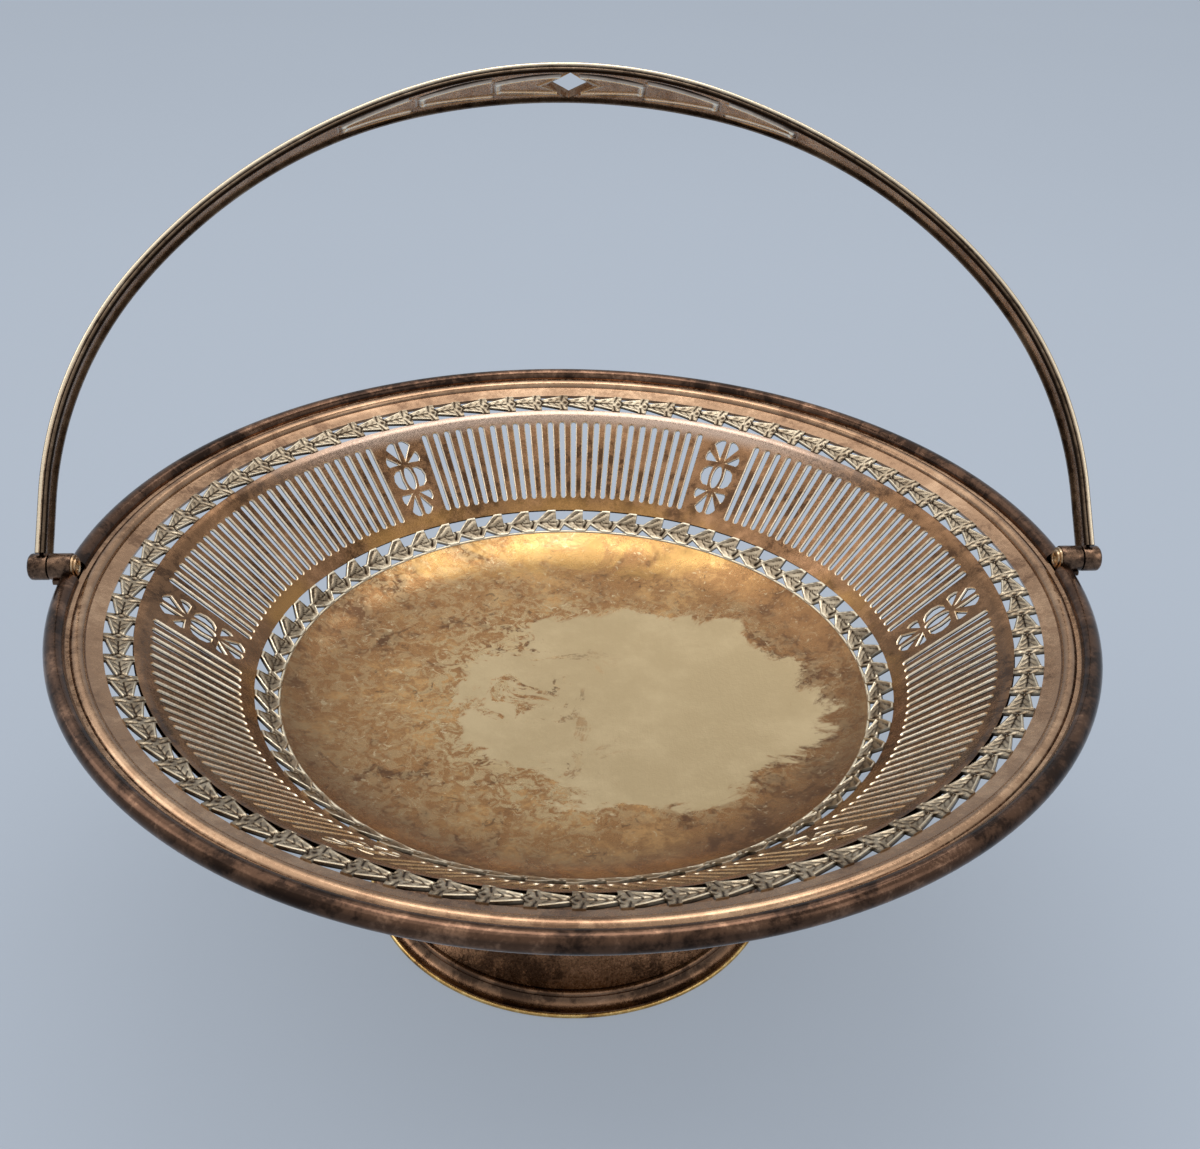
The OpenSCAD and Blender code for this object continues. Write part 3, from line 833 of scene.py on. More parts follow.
class BASKET_OT_leaf_bands(bpy.types.Operator):
    """Chases one leaf for each band and repeats it round the dish"""

    bl_idname = "basket.leaf_bands"
    bl_label = "Leaf Bands"

    def execute(self, context):
        s = seams()
        rise = sizes().leaf_relief / MM
        self.outer(s, rise)
        self.inner(s, rise)
        return {"FINISHED"}

    def outer(self, s, rise):
        """Makes the band of lobed leaves: widths are shares of the band, relief is in millimetres."""
        middle = (s["outer"] + s["outer_in"]) / 2
        half = (s["outer"] - s["outer_in"]).length / 2
        count = sizes().outer_leaves
        length = 2 * math.pi * middle.x / count
        lobed = 0.3
        waist = 0.36
        shoulder = 0.86
        columns = sorted([i / LEAF_STEPS for i in range(LEAF_STEPS + 1)] + [0.012, 0.295, 0.31])

        def sides(u):
            if u == 0 or u == 1:
                w = waist
            elif u < lobed:
                w = 1.0
            else:
                w = shoulder - (shoulder - waist) * (u - lobed) / (1 - lobed)
            return -w * half, w * half

        def height(u, v, inner, outer):
            along = u * length
            past = along if u < 0.5 else along - length
            border = min(v - inner, outer - v)
            flat = rise * (1 - 0.25 * (v / half) ** 2)
            if border < 0.01:
                return flat + 0.04
            side = 0.2 * ridge(border - 0.4, 0.28) * (u > lobed)
            eye = -0.5 * ridge(math.hypot(past - 0.95, v), 0.55)
            lobes = 0.15 * ridge(math.hypot(past - 1.3, abs(v) - 0.6 * half), 0.75)
            notch = -0.34 * ridge(past - 2.6 + 0.25 * abs(v), 0.26) * (abs(v) > 0.8)
            spine = -0.3 * ridge(v, 0.2) * (0.32 < u < 0.9)
            branch = (along + 1.1 * abs(v)) % 2.1
            veins = -0.24 * ridge(branch - 1.05, 0.26) * (u > 0.38) * (border > 0.75)
            cleft = -0.5 * ridge(past + 0.7 - 0.7 * abs(v), 0.28) * (abs(v) < 2.0)
            return flat + side + eye + lobes + notch + spine + veins + cleft

        unit = leaf_unit("outer_leaf_garland", length, columns, sides, height)
        band = leaf_band(unit, count, length, middle, BORDER_SLOPE, OUTER_FLOOR)
        keep(band, "basket", "leaf_plate", [finishes()["leaf_silver_painted_light"]], "outer_leaf_band")

    def inner(self, s, rise):
        """Makes the band of husk leaves and the rail below it."""
        middle = (s["inner"] + s["inner_in"]) / 2
        half = (s["inner"] - s["inner_in"]).length / 2
        count = sizes().inner_leaves
        length = 2 * math.pi * middle.x / count
        upper_lobe = 0.3
        upper_tip = 0.1
        lower_tip = 0.38
        columns = sorted([i / LEAF_STEPS for i in range(LEAF_STEPS + 1)] + [0.295, 0.305])

        def sides(u):
            if u < upper_lobe:
                top = upper_tip
            else:
                top = min(1.0, 1 - (1 - upper_tip) * (u - 0.58) / 0.42)
            flare = -lower_tip - (1 - lower_tip) * u / 0.19
            taper = -1 + (1 - lower_tip) * (u - 0.53) / 0.47
            return max(-1.0, flare, taper) * half, top * half

        def height(u, v, inner, outer):
            along = u * length
            border = min(v - inner, outer - v)
            spine = v + 0.15 * half
            flat = 0.75 * rise
            if border < 0.01:
                return flat + 0.04
            side = 0.26 * ridge(border - 0.42, 0.3)
            fan = math.atan2(abs(spine), max(0.3, length - along))
            vein = 0.1 * math.cos(fan * 14.0) * (border > 0.8)
            rib = -0.3 * ridge(spine, 0.2) * (0.25 < u < 0.9)
            branch = (along + 1.1 * abs(spine)) % 2.3
            veins = -0.2 * ridge(branch - 1.15, 0.26) * (u > 0.36) * (border > 0.75)
            cleft = -0.45 * ridge(along - 1.3 - 0.5 * abs(spine), 0.3) * (abs(spine) < 2.0)
            return flat + side + vein + rib + veins + cleft

        unit = leaf_unit("inner_leaf_garland", length, columns, sides, height)
        band = leaf_band(unit, count, length, middle, INNER_SLOPE, INNER_FLOOR)
        edge = s["inner_in"]
        rail = lathe("inner_rail", arc((edge.x + 0.2, edge.y - 0.1), 0.5, 0, 2 * math.pi, 10)[:-1])
        smooth(rail, 60)
        # The rail is marked high, so it takes the painted highlight colour
        mark(rail, lambda place: 0.9)
        join(band, rail)
        keep(band, "basket", "leaf_plate", [finishes()["leaf_silver_painted_light"]], "inner_leaf_band")


class BASKET_OT_gallery(bpy.types.Operator):
    """Pierces one slot and one floral panel and repeats them round the wall"""

    bl_idname = "basket.gallery"
    bl_label = "Pierced Gallery"

    def execute(self, context):
        s = seams()
        self.inner = s["inner"]
        self.length = (s["wall_top"] - s["inner"]).length
        self.low = SLOT_LOW / math.cos(WALL_SLOPE)
        self.high = (s["outer_in"].x - self.inner.x - SLOT_HIGH) / math.cos(WALL_SLOPE)
        self.flat_r = self.inner.x + (self.low + self.high) / 2 * math.cos(WALL_SLOPE)
        self.pitch = sizes().slot_pitch * self.flat_r
        self.arc_len = SHOULDER_R * (WALL_SLOPE - BORDER_SLOPE)
        self.step = 2 * math.pi * self.flat_r / sizes().panels
        slots = self.slots()
        floral = self.floral()
        wall = join(slots, floral)
        clean(wall)
        repeat(wall, sizes().panels, self.step)
        # Flat faces keep the wall's finish; cut walls take a painted highlight above the lit depth and
        # painted shade below it
        for face in wall.data.polygons:
            lit = face.center.z > -SLOT_LIT * MM
            face.material_index = 0 if abs(face.normal.z) > 0.97 else 1 if lit else 2
        wrap(wall, self.flat_r, self.profile)
        clean(wall)
        smooth(wall, 30)
        names = finishes()
        nodes = [f"gallery_panel_{i + 1}" for i in range(sizes().panels)]
        looks = [names[look] for look in ("wall_tarnish_painted_light", "cut_painted_highlight", "cut_shade")]
        keep(wall, "basket", "wall_plate", looks, *nodes)
        wall.name = "pierced_gallery_wall"
        return {"FINISHED"}

    def profile(self, y, z):
        """Gives radius and height for a place along the wall's slope and over its shoulder."""
        if y <= self.length:
            turn = WALL_SLOPE
            foot = self.inner + y * Vector((math.cos(turn), math.sin(turn)))
        else:
            turn = WALL_SLOPE - (y - self.length) / SHOULDER_R
            top = self.inner + self.length * Vector((math.cos(WALL_SLOPE), math.sin(WALL_SLOPE)))
            centre = top + SHOULDER_R * Vector((math.sin(WALL_SLOPE), -math.cos(WALL_SLOPE)))
            foot = centre + SHOULDER_R * Vector((-math.sin(turn), math.cos(turn)))
        return foot.x - z * math.sin(turn), foot.y + z * math.cos(turn)

    def levels(self):
        """Heights along the slope at which the slots and panels meet."""
        values = [0.0]
        values += [row[0] for row in self.outline()]
        values += [self.length + self.arc_len * i / SHOULDER_STEPS for i in range(SHOULDER_STEPS + 1)]
        return values

    def outline(self):
        """One side of a slot: height and half width of the cut, then of its softened edge."""
        half = SLOT_CUT * self.pitch / 2
        rows = []
        for end, middle_r in ((-1, SLOT_END_LOW * self.pitch / 2), (1, SLOT_END_HIGH * self.pitch / 2)):
            for i in range(5):
                a = math.pi / 2 * (i / 4 if end < 0 else 1 - i / 4)
                foot = self.low + middle_r if end < 0 else self.high - middle_r
                y = foot + end * middle_r * math.cos(a)
                wide_y = foot + end * (middle_r + SLOT_SOFT) * math.cos(a)
                rows.append((y, half * math.sin(a), wide_y, (half + SLOT_SOFT) * math.sin(a)))
        return rows

    def slots(self):
        """Models half a slot with the wall beside it, mirrors it and repeats it across a panel."""
        rows = self.outline()
        levels = self.levels()
        count = len(rows)
        side = -self.pitch / 2

        def place(column, row):
            y = levels[row]
            inside = 0 < row <= count
            cut_y, cut, wide_y, wide = rows[row - 1] if inside else (y, 0, y, 0)
            line = [
                (side, y, 0),
                (-wide, wide_y, 0),
                (-cut, cut_y, -SLOT_SOFT),
                (-cut, cut_y, -SLOT_LIT),
                (-cut, cut_y, SLOT_SOFT - SHEET),
                (-wide, wide_y, -SHEET),
                (side, y, -SHEET),
            ]
            return line[column]

        cell = grid("pierced_gallery_wall", 6, len(levels) - 1, place)
        points = cell.data.vertices
        pick(cell, "FACE", lambda face: all(abs(points[v].co.x) < 1e-7 for v in face.vertices))
        bpy.ops.mesh.delete(type="FACE")
        bpy.ops.object.mode_set(mode="OBJECT")
        apply(cell, "MIRROR", use_axis=(True, False, False), merge_threshold=1e-7)
        repeat(cell, sizes().panel_slots, self.pitch)
        shift = self.step / 2 - (sizes().panel_slots - 1) / 2 * self.pitch
        cell.data.transform(Matrix.Translation((shift * MM, 0, 0)))
        clean(cell)
        return cell

    def holes(self):
        """Outlines of a motif's openings: across, then along the slope from its middle."""
        reach = (self.high - self.low) / 2 - 0.3
        petal = [(0.9, 6.5), (0.7, reach - 0.6), (1.3, reach - 0.05)]
        petal += [(2.3, reach - 0.3), (3.3, reach - 1.2), (3.8, reach - 2.1)]
        side = [(1.6, 5.4), (5.0, 5.2), (5.5, 6.2), (5.4, 7.6), (4.8, 8.5)]
        shapes = []
        for flip_x in (1, -1):
            for flip_y in (1, -1):
                for shape in (petal, side):
                    shapes.append([(x * flip_x, y * flip_y) for x, y in shape])
        angles = [i * math.pi / 12 for i in range(24)]
        shapes.append([(1.45 * math.cos(a), 4.0 * math.sin(a)) for a in angles])
        bow = [(2.2, -3.4), (3.6, -3.3), (4.9, -2.1), (5.4, 0), (4.9, 2.1), (3.6, 3.3), (2.2, 3.4), (2.55, 0)]
        shapes.append(bow)
        shapes.append([(-x, y) for x, y in bow])
        return shapes

    def floral(self):
        """Fills a flat panel round the motif's openings and gives it its thickness."""
        half = (self.step - sizes().panel_slots * self.pitch) / 2
        levels = [y for y in self.levels() if y <= self.length + 1e-6]
        centre = (self.low + self.high) / 2
        ring = [(half, y) for y in levels]
        ring += [(half - 2 * half * i / 8, levels[-1]) for i in range(1, 8)]
        ring += [(-half, y) for y in reversed(levels)]
        ring += [(-half + 2 * half * i / 8, 0) for i in range(1, 8)]
        loops = [ring]
        loops += [[(x, y + centre) for x, y in shape] for shape in self.holes()]
        parts = []
        for loop in loops:
            deselect()
            bpy.ops.mesh.primitive_circle_add(vertices=len(loop), radius=MM, location=(0, 0, 0))
            part = bpy.context.object
            for point, (x, y) in zip(part.data.vertices, loop):
                point.co = (x * MM, y * MM, 0)
            parts.append(part)
        panel = join(*parts)
        edit(panel)
        bpy.ops.mesh.fill(use_beauty=True)
        for i in range(-3, 4):
            bpy.ops.mesh.select_all(action="SELECT")
            bpy.ops.mesh.bisect(plane_co=(i * half / 4 * MM, 0, 0), plane_no=(1, 0, 0))
        for i in range(SHOULDER_STEPS):
            bpy.ops.object.mode_set(mode="OBJECT")
            top = max(v.co.y for v in panel.data.vertices)
            pick(panel, "VERT", lambda point: abs(point.co.y - top) < 1e-7)
            bpy.ops.mesh.extrude_region_move(
                TRANSFORM_OT_translate={"value": (0, self.arc_len / SHOULDER_STEPS * MM, 0)}
            )
        bpy.ops.mesh.select_all(action="SELECT")
        bpy.ops.mesh.normals_make_consistent(inside=False)
        bpy.ops.object.mode_set(mode="OBJECT")
        if panel.data.polygons[0].normal.z < 0:
            panel.data.flip_normals()
        apply(panel, "SOLIDIFY", thickness=SHEET * MM, offset=-1)
        reach = self.length + self.arc_len

        def border(face):
            mid = face.center / MM
            return min(abs(abs(mid.x) - half), abs(mid.y), abs(mid.y - reach)) < 1e-3

        pick(panel, "FACE", lambda face: border(face) and abs(face.normal.z) < 0.5)
        bpy.ops.mesh.delete(type="FACE")
        bpy.ops.mesh.select_mode(type="EDGE")
        bpy.ops.mesh.select_all(action="DESELECT")
        bpy.ops.mesh.edges_select_sharp(sharpness=math.radians(80))
        bpy.ops.mesh.bevel(offset=0.2 * MM, segments=1)
        # Splits the cut walls where their painted highlight meets their painted shade
        bpy.ops.mesh.select_all(action="SELECT")
        bpy.ops.mesh.bisect(plane_co=(0, 0, -SLOT_LIT * MM), plane_no=(0, 0, 1))
        bpy.ops.mesh.select_mode(type="VERT")
        bpy.ops.object.mode_set(mode="OBJECT")
        return panel


class BASKET_OT_rim(bpy.types.Operator):
    """Turns the rim's flange with its ridge, and the rolled edge"""

    bl_idname = "basket.rim"
    bl_label = "Rim"

    def execute(self, context):
        s = seams()
        outer = s["outer"]
        rim = s["rim"]
        rise = math.tan(BORDER_SLOPE)
        side = Vector((math.sin(BORDER_SLOPE), -math.cos(BORDER_SLOPE))) * SHEET

        def on_top(r):
            return Vector((r, outer.y + (r - outer.x) * rise))

        bead = on_top(rim - BEAD_IN) + side / 2
        hump = [
            bead + RIDGE_R * Vector((math.cos(a), math.sin(a)))
            for a in [BORDER_SLOPE + math.radians(160 - 14 * i) for i in range(11)]
        ]
        under = [
            bead + RIDGE_R * Vector((math.cos(a), math.sin(a)))
            for a in [BORDER_SLOPE - math.radians(20 + 14 * i) for i in range(11)]
        ]
        roll = Vector((rim - ROLL_R, RIM_Z))
        section = [on_top(outer.x), on_top(outer.x + 1.6), on_top(outer.x + 2.9)]
        section += hump
        section += [on_top(rim - 5.2), on_top(rim - 4.6), on_top(rim - 4.0) + side * 0.9]
        section += [on_top(rim - 4.4) + side]
        section += [on_top(rim - 5.0) + side]
        section += under
        section += [on_top(outer.x + 2.4) + side, on_top(outer.x) + side]
        flange = lathe("rim_flange_plate", section)
        smooth(flange, 40)
        names = finishes()
        keep(flange, "basket", "rim_plate", [names["rim_tarnish"]], "rim_flange")
        wire = lathe("rim_rolled_edge", arc(roll, ROLL_R, 0, 2 * math.pi, 24)[:-1])
        for way in (1, -1):
            deselect()
            seat = (way * (LUG_IN + 3) * MM, 0, (SEAT_Z + 5) * MM)
            bpy.ops.mesh.primitive_cube_add(size=1, location=seat)
            block = bpy.context.object
            block.scale = (12 * MM, LUG_W * MM, 10 * MM)
            apply(wire, "BOOLEAN", object=block, operation="DIFFERENCE", solver="EXACT")
            bpy.data.objects.remove(block)
        smooth(wire, 40)
        keep(wire, "basket", "rim_plate", [names["roll_tarnish"]], "rim_wire")
        return {"FINISHED"}


class BASKET_OT_foot(bpy.types.Operator):
    """Turns the flared foot and the wire round its edge"""

    bl_idname = "basket.foot"
    bl_label = "Foot"

    def execute(self, context):
        base = sizes().foot_radius / MM
        flare = Vector((FLARE_X, FLARE_Z))
        top = math.asin(FLARE_UP / FLARE_R)
        low = math.asin(-FLARE_DOWN / FLARE_R)
        section = [flare + FLARE_R * Vector((-math.cos(a), math.sin(a))) for a in
                   [top + (low - top) * i / 22 for i in range(23)]]
        section += arc((base - 4.1, 5.0), 1.15, math.radians(120), math.radians(-50), 8)
        section += arc((base - 0.6, 4.2), 2.6, math.radians(200), math.radians(285), 7)
        section += [Vector((base, 1.9)), Vector((base, 0.15)), Vector((base - 0.15, 0.0))]
        section += [Vector((base - 2.8, 0.0)), Vector((base - 4.4, 2.0)), Vector((base - 5.2, 4.2))]
        section += [flare + (FLARE_R + SHEET) * Vector((-math.cos(a), math.sin(a))) for a in
                    [low + (top - low) * i / 16 for i in range(17)]]
        foot = lathe("foot_flare", section)
        smooth(foot, 40)
        names = finishes()
        keep(foot, "basket", "foot_plate", [names["foot_tarnish"]], "foot")
        wire = lathe("foot_edge_wire", arc((base, 1.0), 0.75, 0, 2 * math.pi, 14)[:-1])
        smooth(wire, 60)
        keep(wire, "basket", "brass_wire", [names["brass_edge"]], "foot_wire")
        return {"FINISHED"}


class BASKET_OT_hinges(bpy.types.Operator):
    """Makes the two hinges: lug, pin and knuckle"""

    bl_idname = "basket.hinges"
    bl_label = "Hinges"

    def execute(self, context):
        names = finishes()
        lug = self.lug()
        pin = self.pin()
        knuckle = self.knuckle()
        for obj, name, node, body, slot, look in (
            (lug, "hinge_lug_barrel", "hinge_lug", "basket", "hinge_plate", "hinge_tarnish"),
            (pin, "hinge_pin_turned", "hinge_pin", "basket", "pin_plate", "pin_silver"),
            (knuckle, "hinge_knuckle", "handle_knuckle", "handle", "hinge_plate", "hinge_tarnish"),
        ):
            other = mirrored(obj, name + "_left")
            obj.name = name + "_right"
            smooth(obj, 35)
            smooth(other, 35)
            keep(obj, body, slot, [names[look]], node + "_right")
            keep(other, body, slot, [names[look]], node + "_left")
        return {"FINISHED"}

    def lug(self):
        """Turns the lug's half of the barrel and sets it on its block."""
        bore = PIN_R + 0.02
        section = [(LUG_IN, bore), (LUG_IN, BARREL_R - 0.3)]
        section += [(LUG_IN + 0.1, BARREL_R - 0.08), (LUG_IN + 0.35, BARREL_R)]
        section += [(LUG_OUT - 0.3, BARREL_R), (LUG_OUT - 0.08, BARREL_R - 0.08)]
        section += [(LUG_OUT, BARREL_R - 0.3), (LUG_OUT, bore)]
        barrel = lathe_x("hinge_lug_barrel", section)
        deselect()
        length = LUG_OUT - LUG_IN - 0.7
        height = AXIS_Z - 2.2 - SEAT_Z
        bpy.ops.mesh.primitive_cube_add(
            size=1, location=((LUG_IN + length / 2) * MM, 0, (SEAT_Z + height / 2) * MM)
        )
        block = bpy.context.object
        block.scale = (length * MM, LUG_W * MM, height * MM)
        bpy.ops.object.transform_apply(location=True, rotation=True, scale=True)
        edit(block)
        bpy.ops.mesh.bevel(offset=0.35 * MM, segments=2)
        apply(barrel, "BOOLEAN", object=block, operation="UNION", solver="EXACT")
        bpy.data.objects.remove(block)
        return barrel

    def pin(self):
        """Turns the pin with its stepped ring end."""
        end = KNUCKLE_OUT - 1.3
        head = LUG_IN
        section = [(head - 0.5, 0.0), (head - 0.5, PIN_R - 0.25)]
        section += [(head - 1.05, PIN_R - 0.2), (head - 1.2, PIN_R)]
        section += [(head - 1.2, 2.2), (head - 1.1, 2.38), (head - 0.9, 2.4)]
        section += [(head - 0.62, 2.42), (head - 0.58, 2.9), (head - 0.5, 3.08)]
        section += [(head - 0.3, 3.1), (head - 0.02, 3.1), (head - 0.02, PIN_R)]
        section += [(end - 0.3, PIN_R), (end, PIN_R - 0.3), (end, 0.0)]
        return lathe_x("hinge_pin_turned", section)

    def knuckle(self):
        """Turns the handle's half of the barrel, closed at its outer end."""
        bore = PIN_R + 0.05
        end = KNUCKLE_OUT
        section = [(KNUCKLE_IN, bore), (KNUCKLE_IN, BARREL_R - 0.3), (KNUCKLE_IN + 0.08, BARREL_R - 0.08)]
        section += [(KNUCKLE_IN + 0.3, BARREL_R), (end - 0.9, BARREL_R), (end - 0.5, BARREL_R - 0.12)]
        section += [(end - 0.15, BARREL_R - 0.5), (end, BARREL_R - 1.1), (end, 0.0)]
        section += [(end - 0.9, 0.0), (end - 0.9, bore)]
        return lathe_x("hinge_knuckle", section)


# Handle


def arch(along):
    """Gives the place and outward direction on the upright handle, at a distance from the crown's middle."""
    way = 1 if along >= 0 else -1
    along = abs(along)
    crown = CROWN_R * CROWN_TURN
    haunch = HAUNCH_R * HAUNCH_TURN
    if along <= crown:
        a = along / CROWN_R
        out = Vector((math.sin(a), math.cos(a)))
        place = Vector((0, CROWN_Z)) + CROWN_R * out
    elif along <= crown + haunch:
        a = HAUNCH_TURN - (along - crown) / HAUNCH_R
        out = Vector((math.cos(a), math.sin(a)))
        place = Vector((HAUNCH_X, LEG_H)) + HAUNCH_R * out
    else:
        out = Vector((1, 0))
        place = Vector((SPAN, LEG_H - (along - crown - haunch)))
    return Vector((place.x * way, place.y)), Vector((out.x * way, out.y))


def half_width(x):
    """Gives the strap's half width at a distance from the middle of the handle."""
    x = abs(x)
    top = sizes().strap_top / MM / 2
    end = sizes().strap_end / MM / 2
    meet = WIDEN * BULGE_R / (BULGE_R + REVERSE_R)
    if x < meet:
        return top - BULGE_R + math.sqrt(BULGE_R ** 2 - x ** 2)
    if x < WIDEN:
        return end + REVERSE_R - math.sqrt(REVERSE_R ** 2 - (WIDEN - x) ** 2)
    return end


def is_outside(x, height):
    """Tells whether a place near the upright handle lies outside its middle line."""
    x = abs(x)
    if x <= 0.8 * CROWN_R:
        return math.hypot(x, height - CROWN_Z) > CROWN_R
    if height > LEG_H:
        return math.hypot(x - HAUNCH_X, height - LEG_H) > HAUNCH_R
    return x > SPAN


def leaned(place, y):
    """Leans an upright place over the hinge line."""
    return Vector((
        place.x,
        y * math.cos(LEAN) + place.y * math.sin(LEAN),
        AXIS_Z + place.y * math.cos(LEAN) - y * math.sin(LEAN),
    ))


def stations():
    """Gives the distances along the handle at which it is drawn, close together at the ornament."""
    reach = CROWN_R * CROWN_TURN + HAUNCH_R * HAUNCH_TURN + LEG_H - LEG_GAP
    half = [ORNAMENT * i / 160 for i in range(161)]
    half += [ORNAMENT + (reach - ORNAMENT) * i / 64 for i in range(1, 65)]
    return [-v for v in reversed(half[1:])] + half


def husk_relief(along, y, width):
    """Gives how far the strap is pressed outwards: the husks' hollows and lips, and the lozenge's frame."""
    along = abs(along)
    side = abs(y)
    press = 0.0
    for start, end in HUSKS:
        t = min(max((along - start) / (end - start), 0.0), 1.0)
        over = along - start - t * (end - start)
        line = width * (0.57 - 0.27 * t ** 1.4)
        narrow = 0.34 + 0.26 * math.sin(math.pi * t)
        press += 0.8 * ridge(math.hypot(side - line - 0.75, over), narrow)
        press -= 0.5 * ridge(math.hypot(side - line + 0.3, over), 0.42)
        press -= 0.4 * ridge(along - end + 0.3, 0.6) * (side < line)
        press += 0.3 * ridge(along - end - 0.8, 0.45) * (side < line + 0.4)
    frame_line = along * 0.72 + side - 0.5 * sizes().lozenge / MM
    press -= 0.3 * ridge(frame_line - 0.5, 0.45) * (side < 0.95 * width)
    return press


# The strap's relief mark, low in its hollows and high on its lips, sets its painted shade and painted
# highlight
def strap_tone(point):
    """Gives how far a place on the strap stands out: its inner face shows the husks the other way round."""
    up = point.y * math.sin(LEAN) + (point.z - AXIS_Z) * math.cos(LEAN) - CROWN_Z
    y = point.y * math.cos(LEAN) - (point.z - AXIS_Z) * math.sin(LEAN)
    press = husk_relief(CROWN_R * math.atan2(point.x, up), y, half_width(point.x) - EDGE_W)
    outer = math.hypot(point.x, up) > CROWN_R + 0.75 * press
    return PLAIN_TONE + 0.4 * press if outer else PLAIN_TONE - press


class BASKET_OT_handle(bpy.types.Operator):
    """Draws the handle's strap with its husks, and the reeded edging on both sides"""

    bl_idname = "basket.handle"
    bl_label = "Handle"

    def execute(self, context):
        names = finishes()
        marks = stations()
        total = STRAP_OUTER + STRAP_INNER + 2

        def strap_place(column, row):
            spot, out = arch(marks[column])
            row = row % total
            on_top = row <= STRAP_OUTER
            if on_top:
                across = 2 * row / STRAP_OUTER - 1
            else:
                across = 1 - 2 * (row - STRAP_OUTER - 1) / STRAP_INNER
            width = half_width(spot.x) - EDGE_W + STRAP_LAP
            fade = min(1.0, (1 - abs(across)) * 8)
            press = husk_relief(marks[column], width * across, width) * fade
            offset = STRAP_HALF + 0.5 * press if on_top else press - STRAP_HALF
            return leaned(spot + out * offset, width * across)

        strap = grid("handle_strap_pressed", len(marks) - 1, total, strap_place)
        clean(strap)
        close_ends(strap)
        self.pierce(strap)
        mark(strap, strap_tone)
        smooth(strap, 70)
        keep(strap, "handle", "handle_plate", [names["strap_tarnish_painted_light"], names["rim_tarnish"]], "handle_strap")
        for way, name, node in (
            (-1, "handle_reed_front", "handle_edge_front"),
            (1, "handle_reed_back", "handle_edge_back"),
        ):
            reed = self.reed(name, marks, way)
            keep(reed, "handle", "edge_plate", [names["reed_tarnish_painted_light"]], node)
        return {"FINISHED"}

    def pierce(self, strap):
        """Cuts the lozenge through the crown with sloping walls."""
        deselect()
        middle = leaned(arch(0)[0], 0) * MM
        half = sizes().lozenge / 2
        bpy.ops.mesh.primitive_cone_add(
            vertices=4,
            radius1=half + LOZENGE_FLARE * MM,
            radius2=half - LOZENGE_FLARE * MM,
            depth=LOZENGE_DEPTH * MM,
            location=middle,
            rotation=(-LEAN, 0, 0),
        )
        cutter = bpy.context.object
        apply(strap, "BOOLEAN", object=cutter, operation="DIFFERENCE", solver="EXACT")
        bpy.data.objects.remove(cutter)
        up = Vector((0, math.sin(LEAN), math.cos(LEAN)))
        side = Vector((0, math.cos(LEAN), -math.sin(LEAN)))
        for face in strap.data.polygons:
            far = abs(face.center.x) + abs((face.center - middle).dot(side))
            face.material_index = 1 if far < half + MM and abs(face.normal.dot(up)) < 0.78 else 0

    def reed(self, name, marks, way):
        """Sweeps two reeds with a groove between them along one edge of the strap."""
        section = [(0.0, -REED_HALF)]
        section += arc((REED_R, -REED_UP), REED_R, math.radians(-80), math.radians(50), 5)
        section += [(REED_GROOVE, 0.0)]
        section += arc((REED_R, REED_UP), REED_R, math.radians(-50), math.radians(80), 5)
        section += [(0.0, REED_HALF), (0.0, -REED_HALF)]

        def place(column, row):
            spot, out = arch(marks[column])
            across, thick = section[row]
            y = way * (half_width(spot.x) - EDGE_W + across)
            return leaned(spot + out * thick, y)

        # Relief marks for painted light: outside, the outer reed is painted bright at its crest and dark
        # towards the strap; inside, the inner reed is painted in shade, darker on the front edge than on the
        # back one
        def reed_shading(point):
            y = point.y * math.cos(LEAN) - (point.z - AXIS_Z) * math.sin(LEAN)
            height = point.y * math.sin(LEAN) + (point.z - AXIS_Z) * math.cos(LEAN)
            across = abs(y) - half_width(point.x) + EDGE_W
            if is_outside(point.x, height):
                return (across - 0.85) / 0.42
            return across - 1.05 if way < 0 else 0.2 + 0.25 * across

        reed = grid(name, len(marks) - 1, len(section) - 1, place)
        mark(reed, reed_shading)
        clean(reed)
        close_ends(reed)
        smooth(reed, 45)
        return reed


# Stage


def soft_lamp(name, place, target, size, power):
    """Adds a soft lamp of the given width and depth that points at a place."""
    bpy.ops.object.light_add(type="AREA", location=place)
    lamp = bpy.context.object
    lamp.name = name
    lamp.data.shape = "RECTANGLE"
    lamp.data.size, lamp.data.size_y = size
    lamp.data.energy = power
    lamp.rotation_euler = (Vector(target) - Vector(place)).to_track_quat("-Z", "Y").to_euler()


def seen_rays(tree):
    """Gives 1 for the rays that show the surroundings: from the camera, off metal and through glass."""
    path = tree.nodes.new("ShaderNodeLightPath")
    rays = math_node(tree, "MAXIMUM", path.outputs["Is Camera Ray"], path.outputs["Is Glossy Ray"])
    return math_node(tree, "MAXIMUM", rays, path.outputs["Is Transmission Ray"])


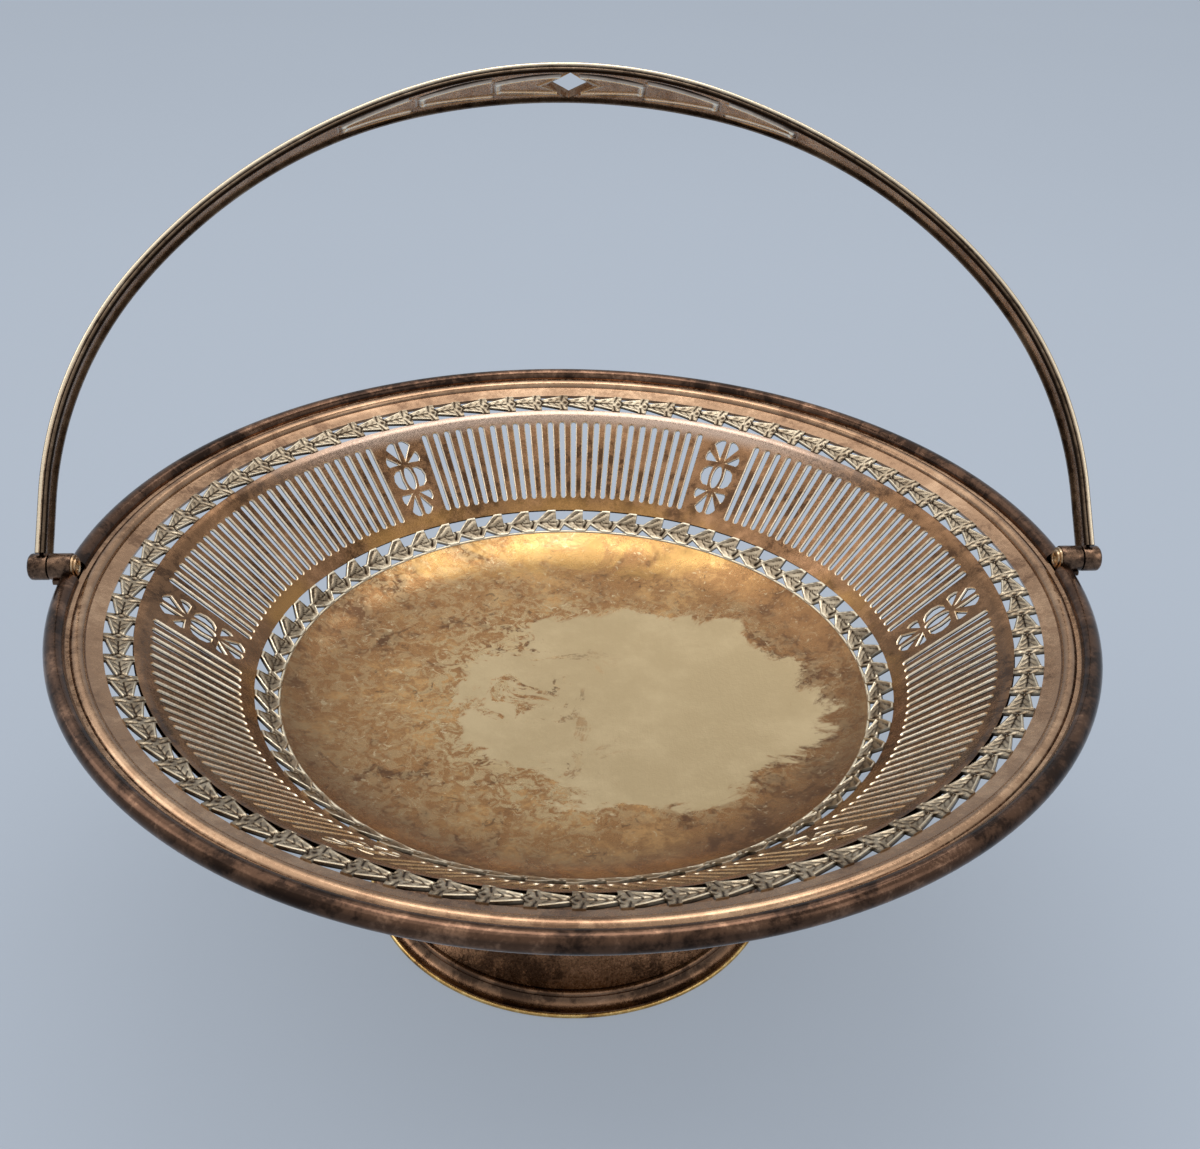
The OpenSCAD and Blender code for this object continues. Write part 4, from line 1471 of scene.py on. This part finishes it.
class BASKET_OT_stage(bpy.types.Operator):
    """Sets up the camera, the floor and the soft lamps"""

    bl_idname = "basket.stage"
    bl_label = "Stage"

    def execute(self, context):
        deselect()
        bpy.ops.object.camera_add(
            location=CAMERA_PLACE,
            rotation=[math.radians(a) for a in CAMERA_TURN],
        )
        camera = bpy.context.object
        camera.name = "camera"
        camera.data.sensor_width = CAMERA_SENSOR
        camera.data.lens = CAMERA_LENS
        camera.data.clip_start = 0.01
        context.scene.camera = camera
        bpy.ops.mesh.primitive_plane_add(size=FLOOR_SIZE, location=(0, 0, 0))
        floor = bpy.context.object
        floor.name = "floor"
        floor.data.materials.append(self.floor_paint())
        for name, values in LAMPS.items():
            soft_lamp(name, *values)
        bpy.ops.object.light_add(type="SUN", location=(0, 0, 2), rotation=(-0.25, -0.35, 0))
        sun = bpy.context.object
        sun.name = "lamp_sky"
        sun.data.energy = 0.7
        sun.data.angle = math.radians(70)
        self.world(context)
        context.scene.view_settings.view_transform = "Standard"
        return {"FINISHED"}

    def floor_paint(self):
        """Makes the floor's plain pale paint, part of which glows so that shadows stay soft."""
        material = bpy.data.materials.new("floor_paint")
        material.use_nodes = True
        tree = material.node_tree
        shader = tree.nodes["Principled BSDF"]
        shader.inputs["Roughness"].default_value = 0.9
        shader.inputs["Specular IOR Level"].default_value = 0.1
        place = tree.nodes.new("ShaderNodeTexCoord").outputs["Object"]
        cloud = noise(tree, place, 2.0, 2)
        base = tuple(finish().floor)
        paint = mix(tree, cloud, tuple(0.97 * c for c in base), base)
        tree.links.new(paint, shader.inputs["Base Color"])
        glow = tree.nodes.new("ShaderNodeEmission")
        tree.links.new(paint, glow.inputs["Color"])
        blend = tree.nodes.new("ShaderNodeMixShader")
        tree.links.new(math_node(tree, "MULTIPLY", seen_rays(tree), 0.6), blend.inputs[0])
        tree.links.new(shader.outputs[0], blend.inputs[1])
        tree.links.new(glow.outputs[0], blend.inputs[2])
        tree.links.new(blend.outputs[0], tree.nodes["Material Output"].inputs["Surface"])
        return material

    def world(self, context):
        """Makes the soft surroundings: paler overhead, and plain for the light they give."""
        world = bpy.data.worlds.new("studio")
        context.scene.world = world
        world.use_nodes = True
        tree = world.node_tree
        back = tree.nodes["Background"]
        up = tree.nodes.new("ShaderNodeSeparateXYZ")
        tree.links.new(tree.nodes.new("ShaderNodeTexCoord").outputs["Generated"], up.inputs[0])
        lift = ramp(tree, up.outputs[2], -0.1, 0.9)
        seen = mix(tree, lift, (0.40, 0.45, 0.525), (0.9, 0.9, 0.9))
        tree.links.new(mix(tree, seen_rays(tree), (0.6, 0.6, 0.62), seen), back.inputs["Color"])


class BASKET_PT_pieces(bpy.types.Panel):
    """Lists the basket's sizes, colours and pieces"""

    bl_idname = "BASKET_PT_pieces"
    bl_label = "Cake Basket"
    bl_space_type = "VIEW_3D"
    bl_region_type = "UI"
    bl_category = "Basket"

    def draw(self, context):
        for values in (context.scene.basket_sizes, context.scene.basket_finish):
            for name in values.__annotations__:
                self.layout.prop(values, name)
        for operator in OPERATORS:
            self.layout.operator(operator.bl_idname)


OPERATORS = (
    BASKET_OT_well,
    BASKET_OT_leaf_bands,
    BASKET_OT_gallery,
    BASKET_OT_rim,
    BASKET_OT_foot,
    BASKET_OT_hinges,
    BASKET_OT_handle,
    BASKET_OT_stage,
)
CLASSES = (BasketSizes, BasketFinish, *OPERATORS, BASKET_PT_pieces)


def register():
    """Adds the basket's classes and its sizes and colours to the scene."""
    for cls in CLASSES:
        bpy.utils.register_class(cls)
    bpy.types.Scene.basket_sizes = bpy.props.PointerProperty(type=BasketSizes)
    bpy.types.Scene.basket_finish = bpy.props.PointerProperty(type=BasketFinish)


def unregister():
    """Takes the basket's sizes, colours and classes out again."""
    del bpy.types.Scene.basket_finish
    del bpy.types.Scene.basket_sizes
    for cls in reversed(CLASSES):
        bpy.utils.unregister_class(cls)


def main():
    register()
    bpy.ops.basket.well()
    bpy.ops.basket.leaf_bands()
    bpy.ops.basket.gallery()
    bpy.ops.basket.rim()
    bpy.ops.basket.foot()
    bpy.ops.basket.hinges()
    bpy.ops.basket.handle()
    bpy.ops.basket.stage()


if __name__ == "__main__":
    main()
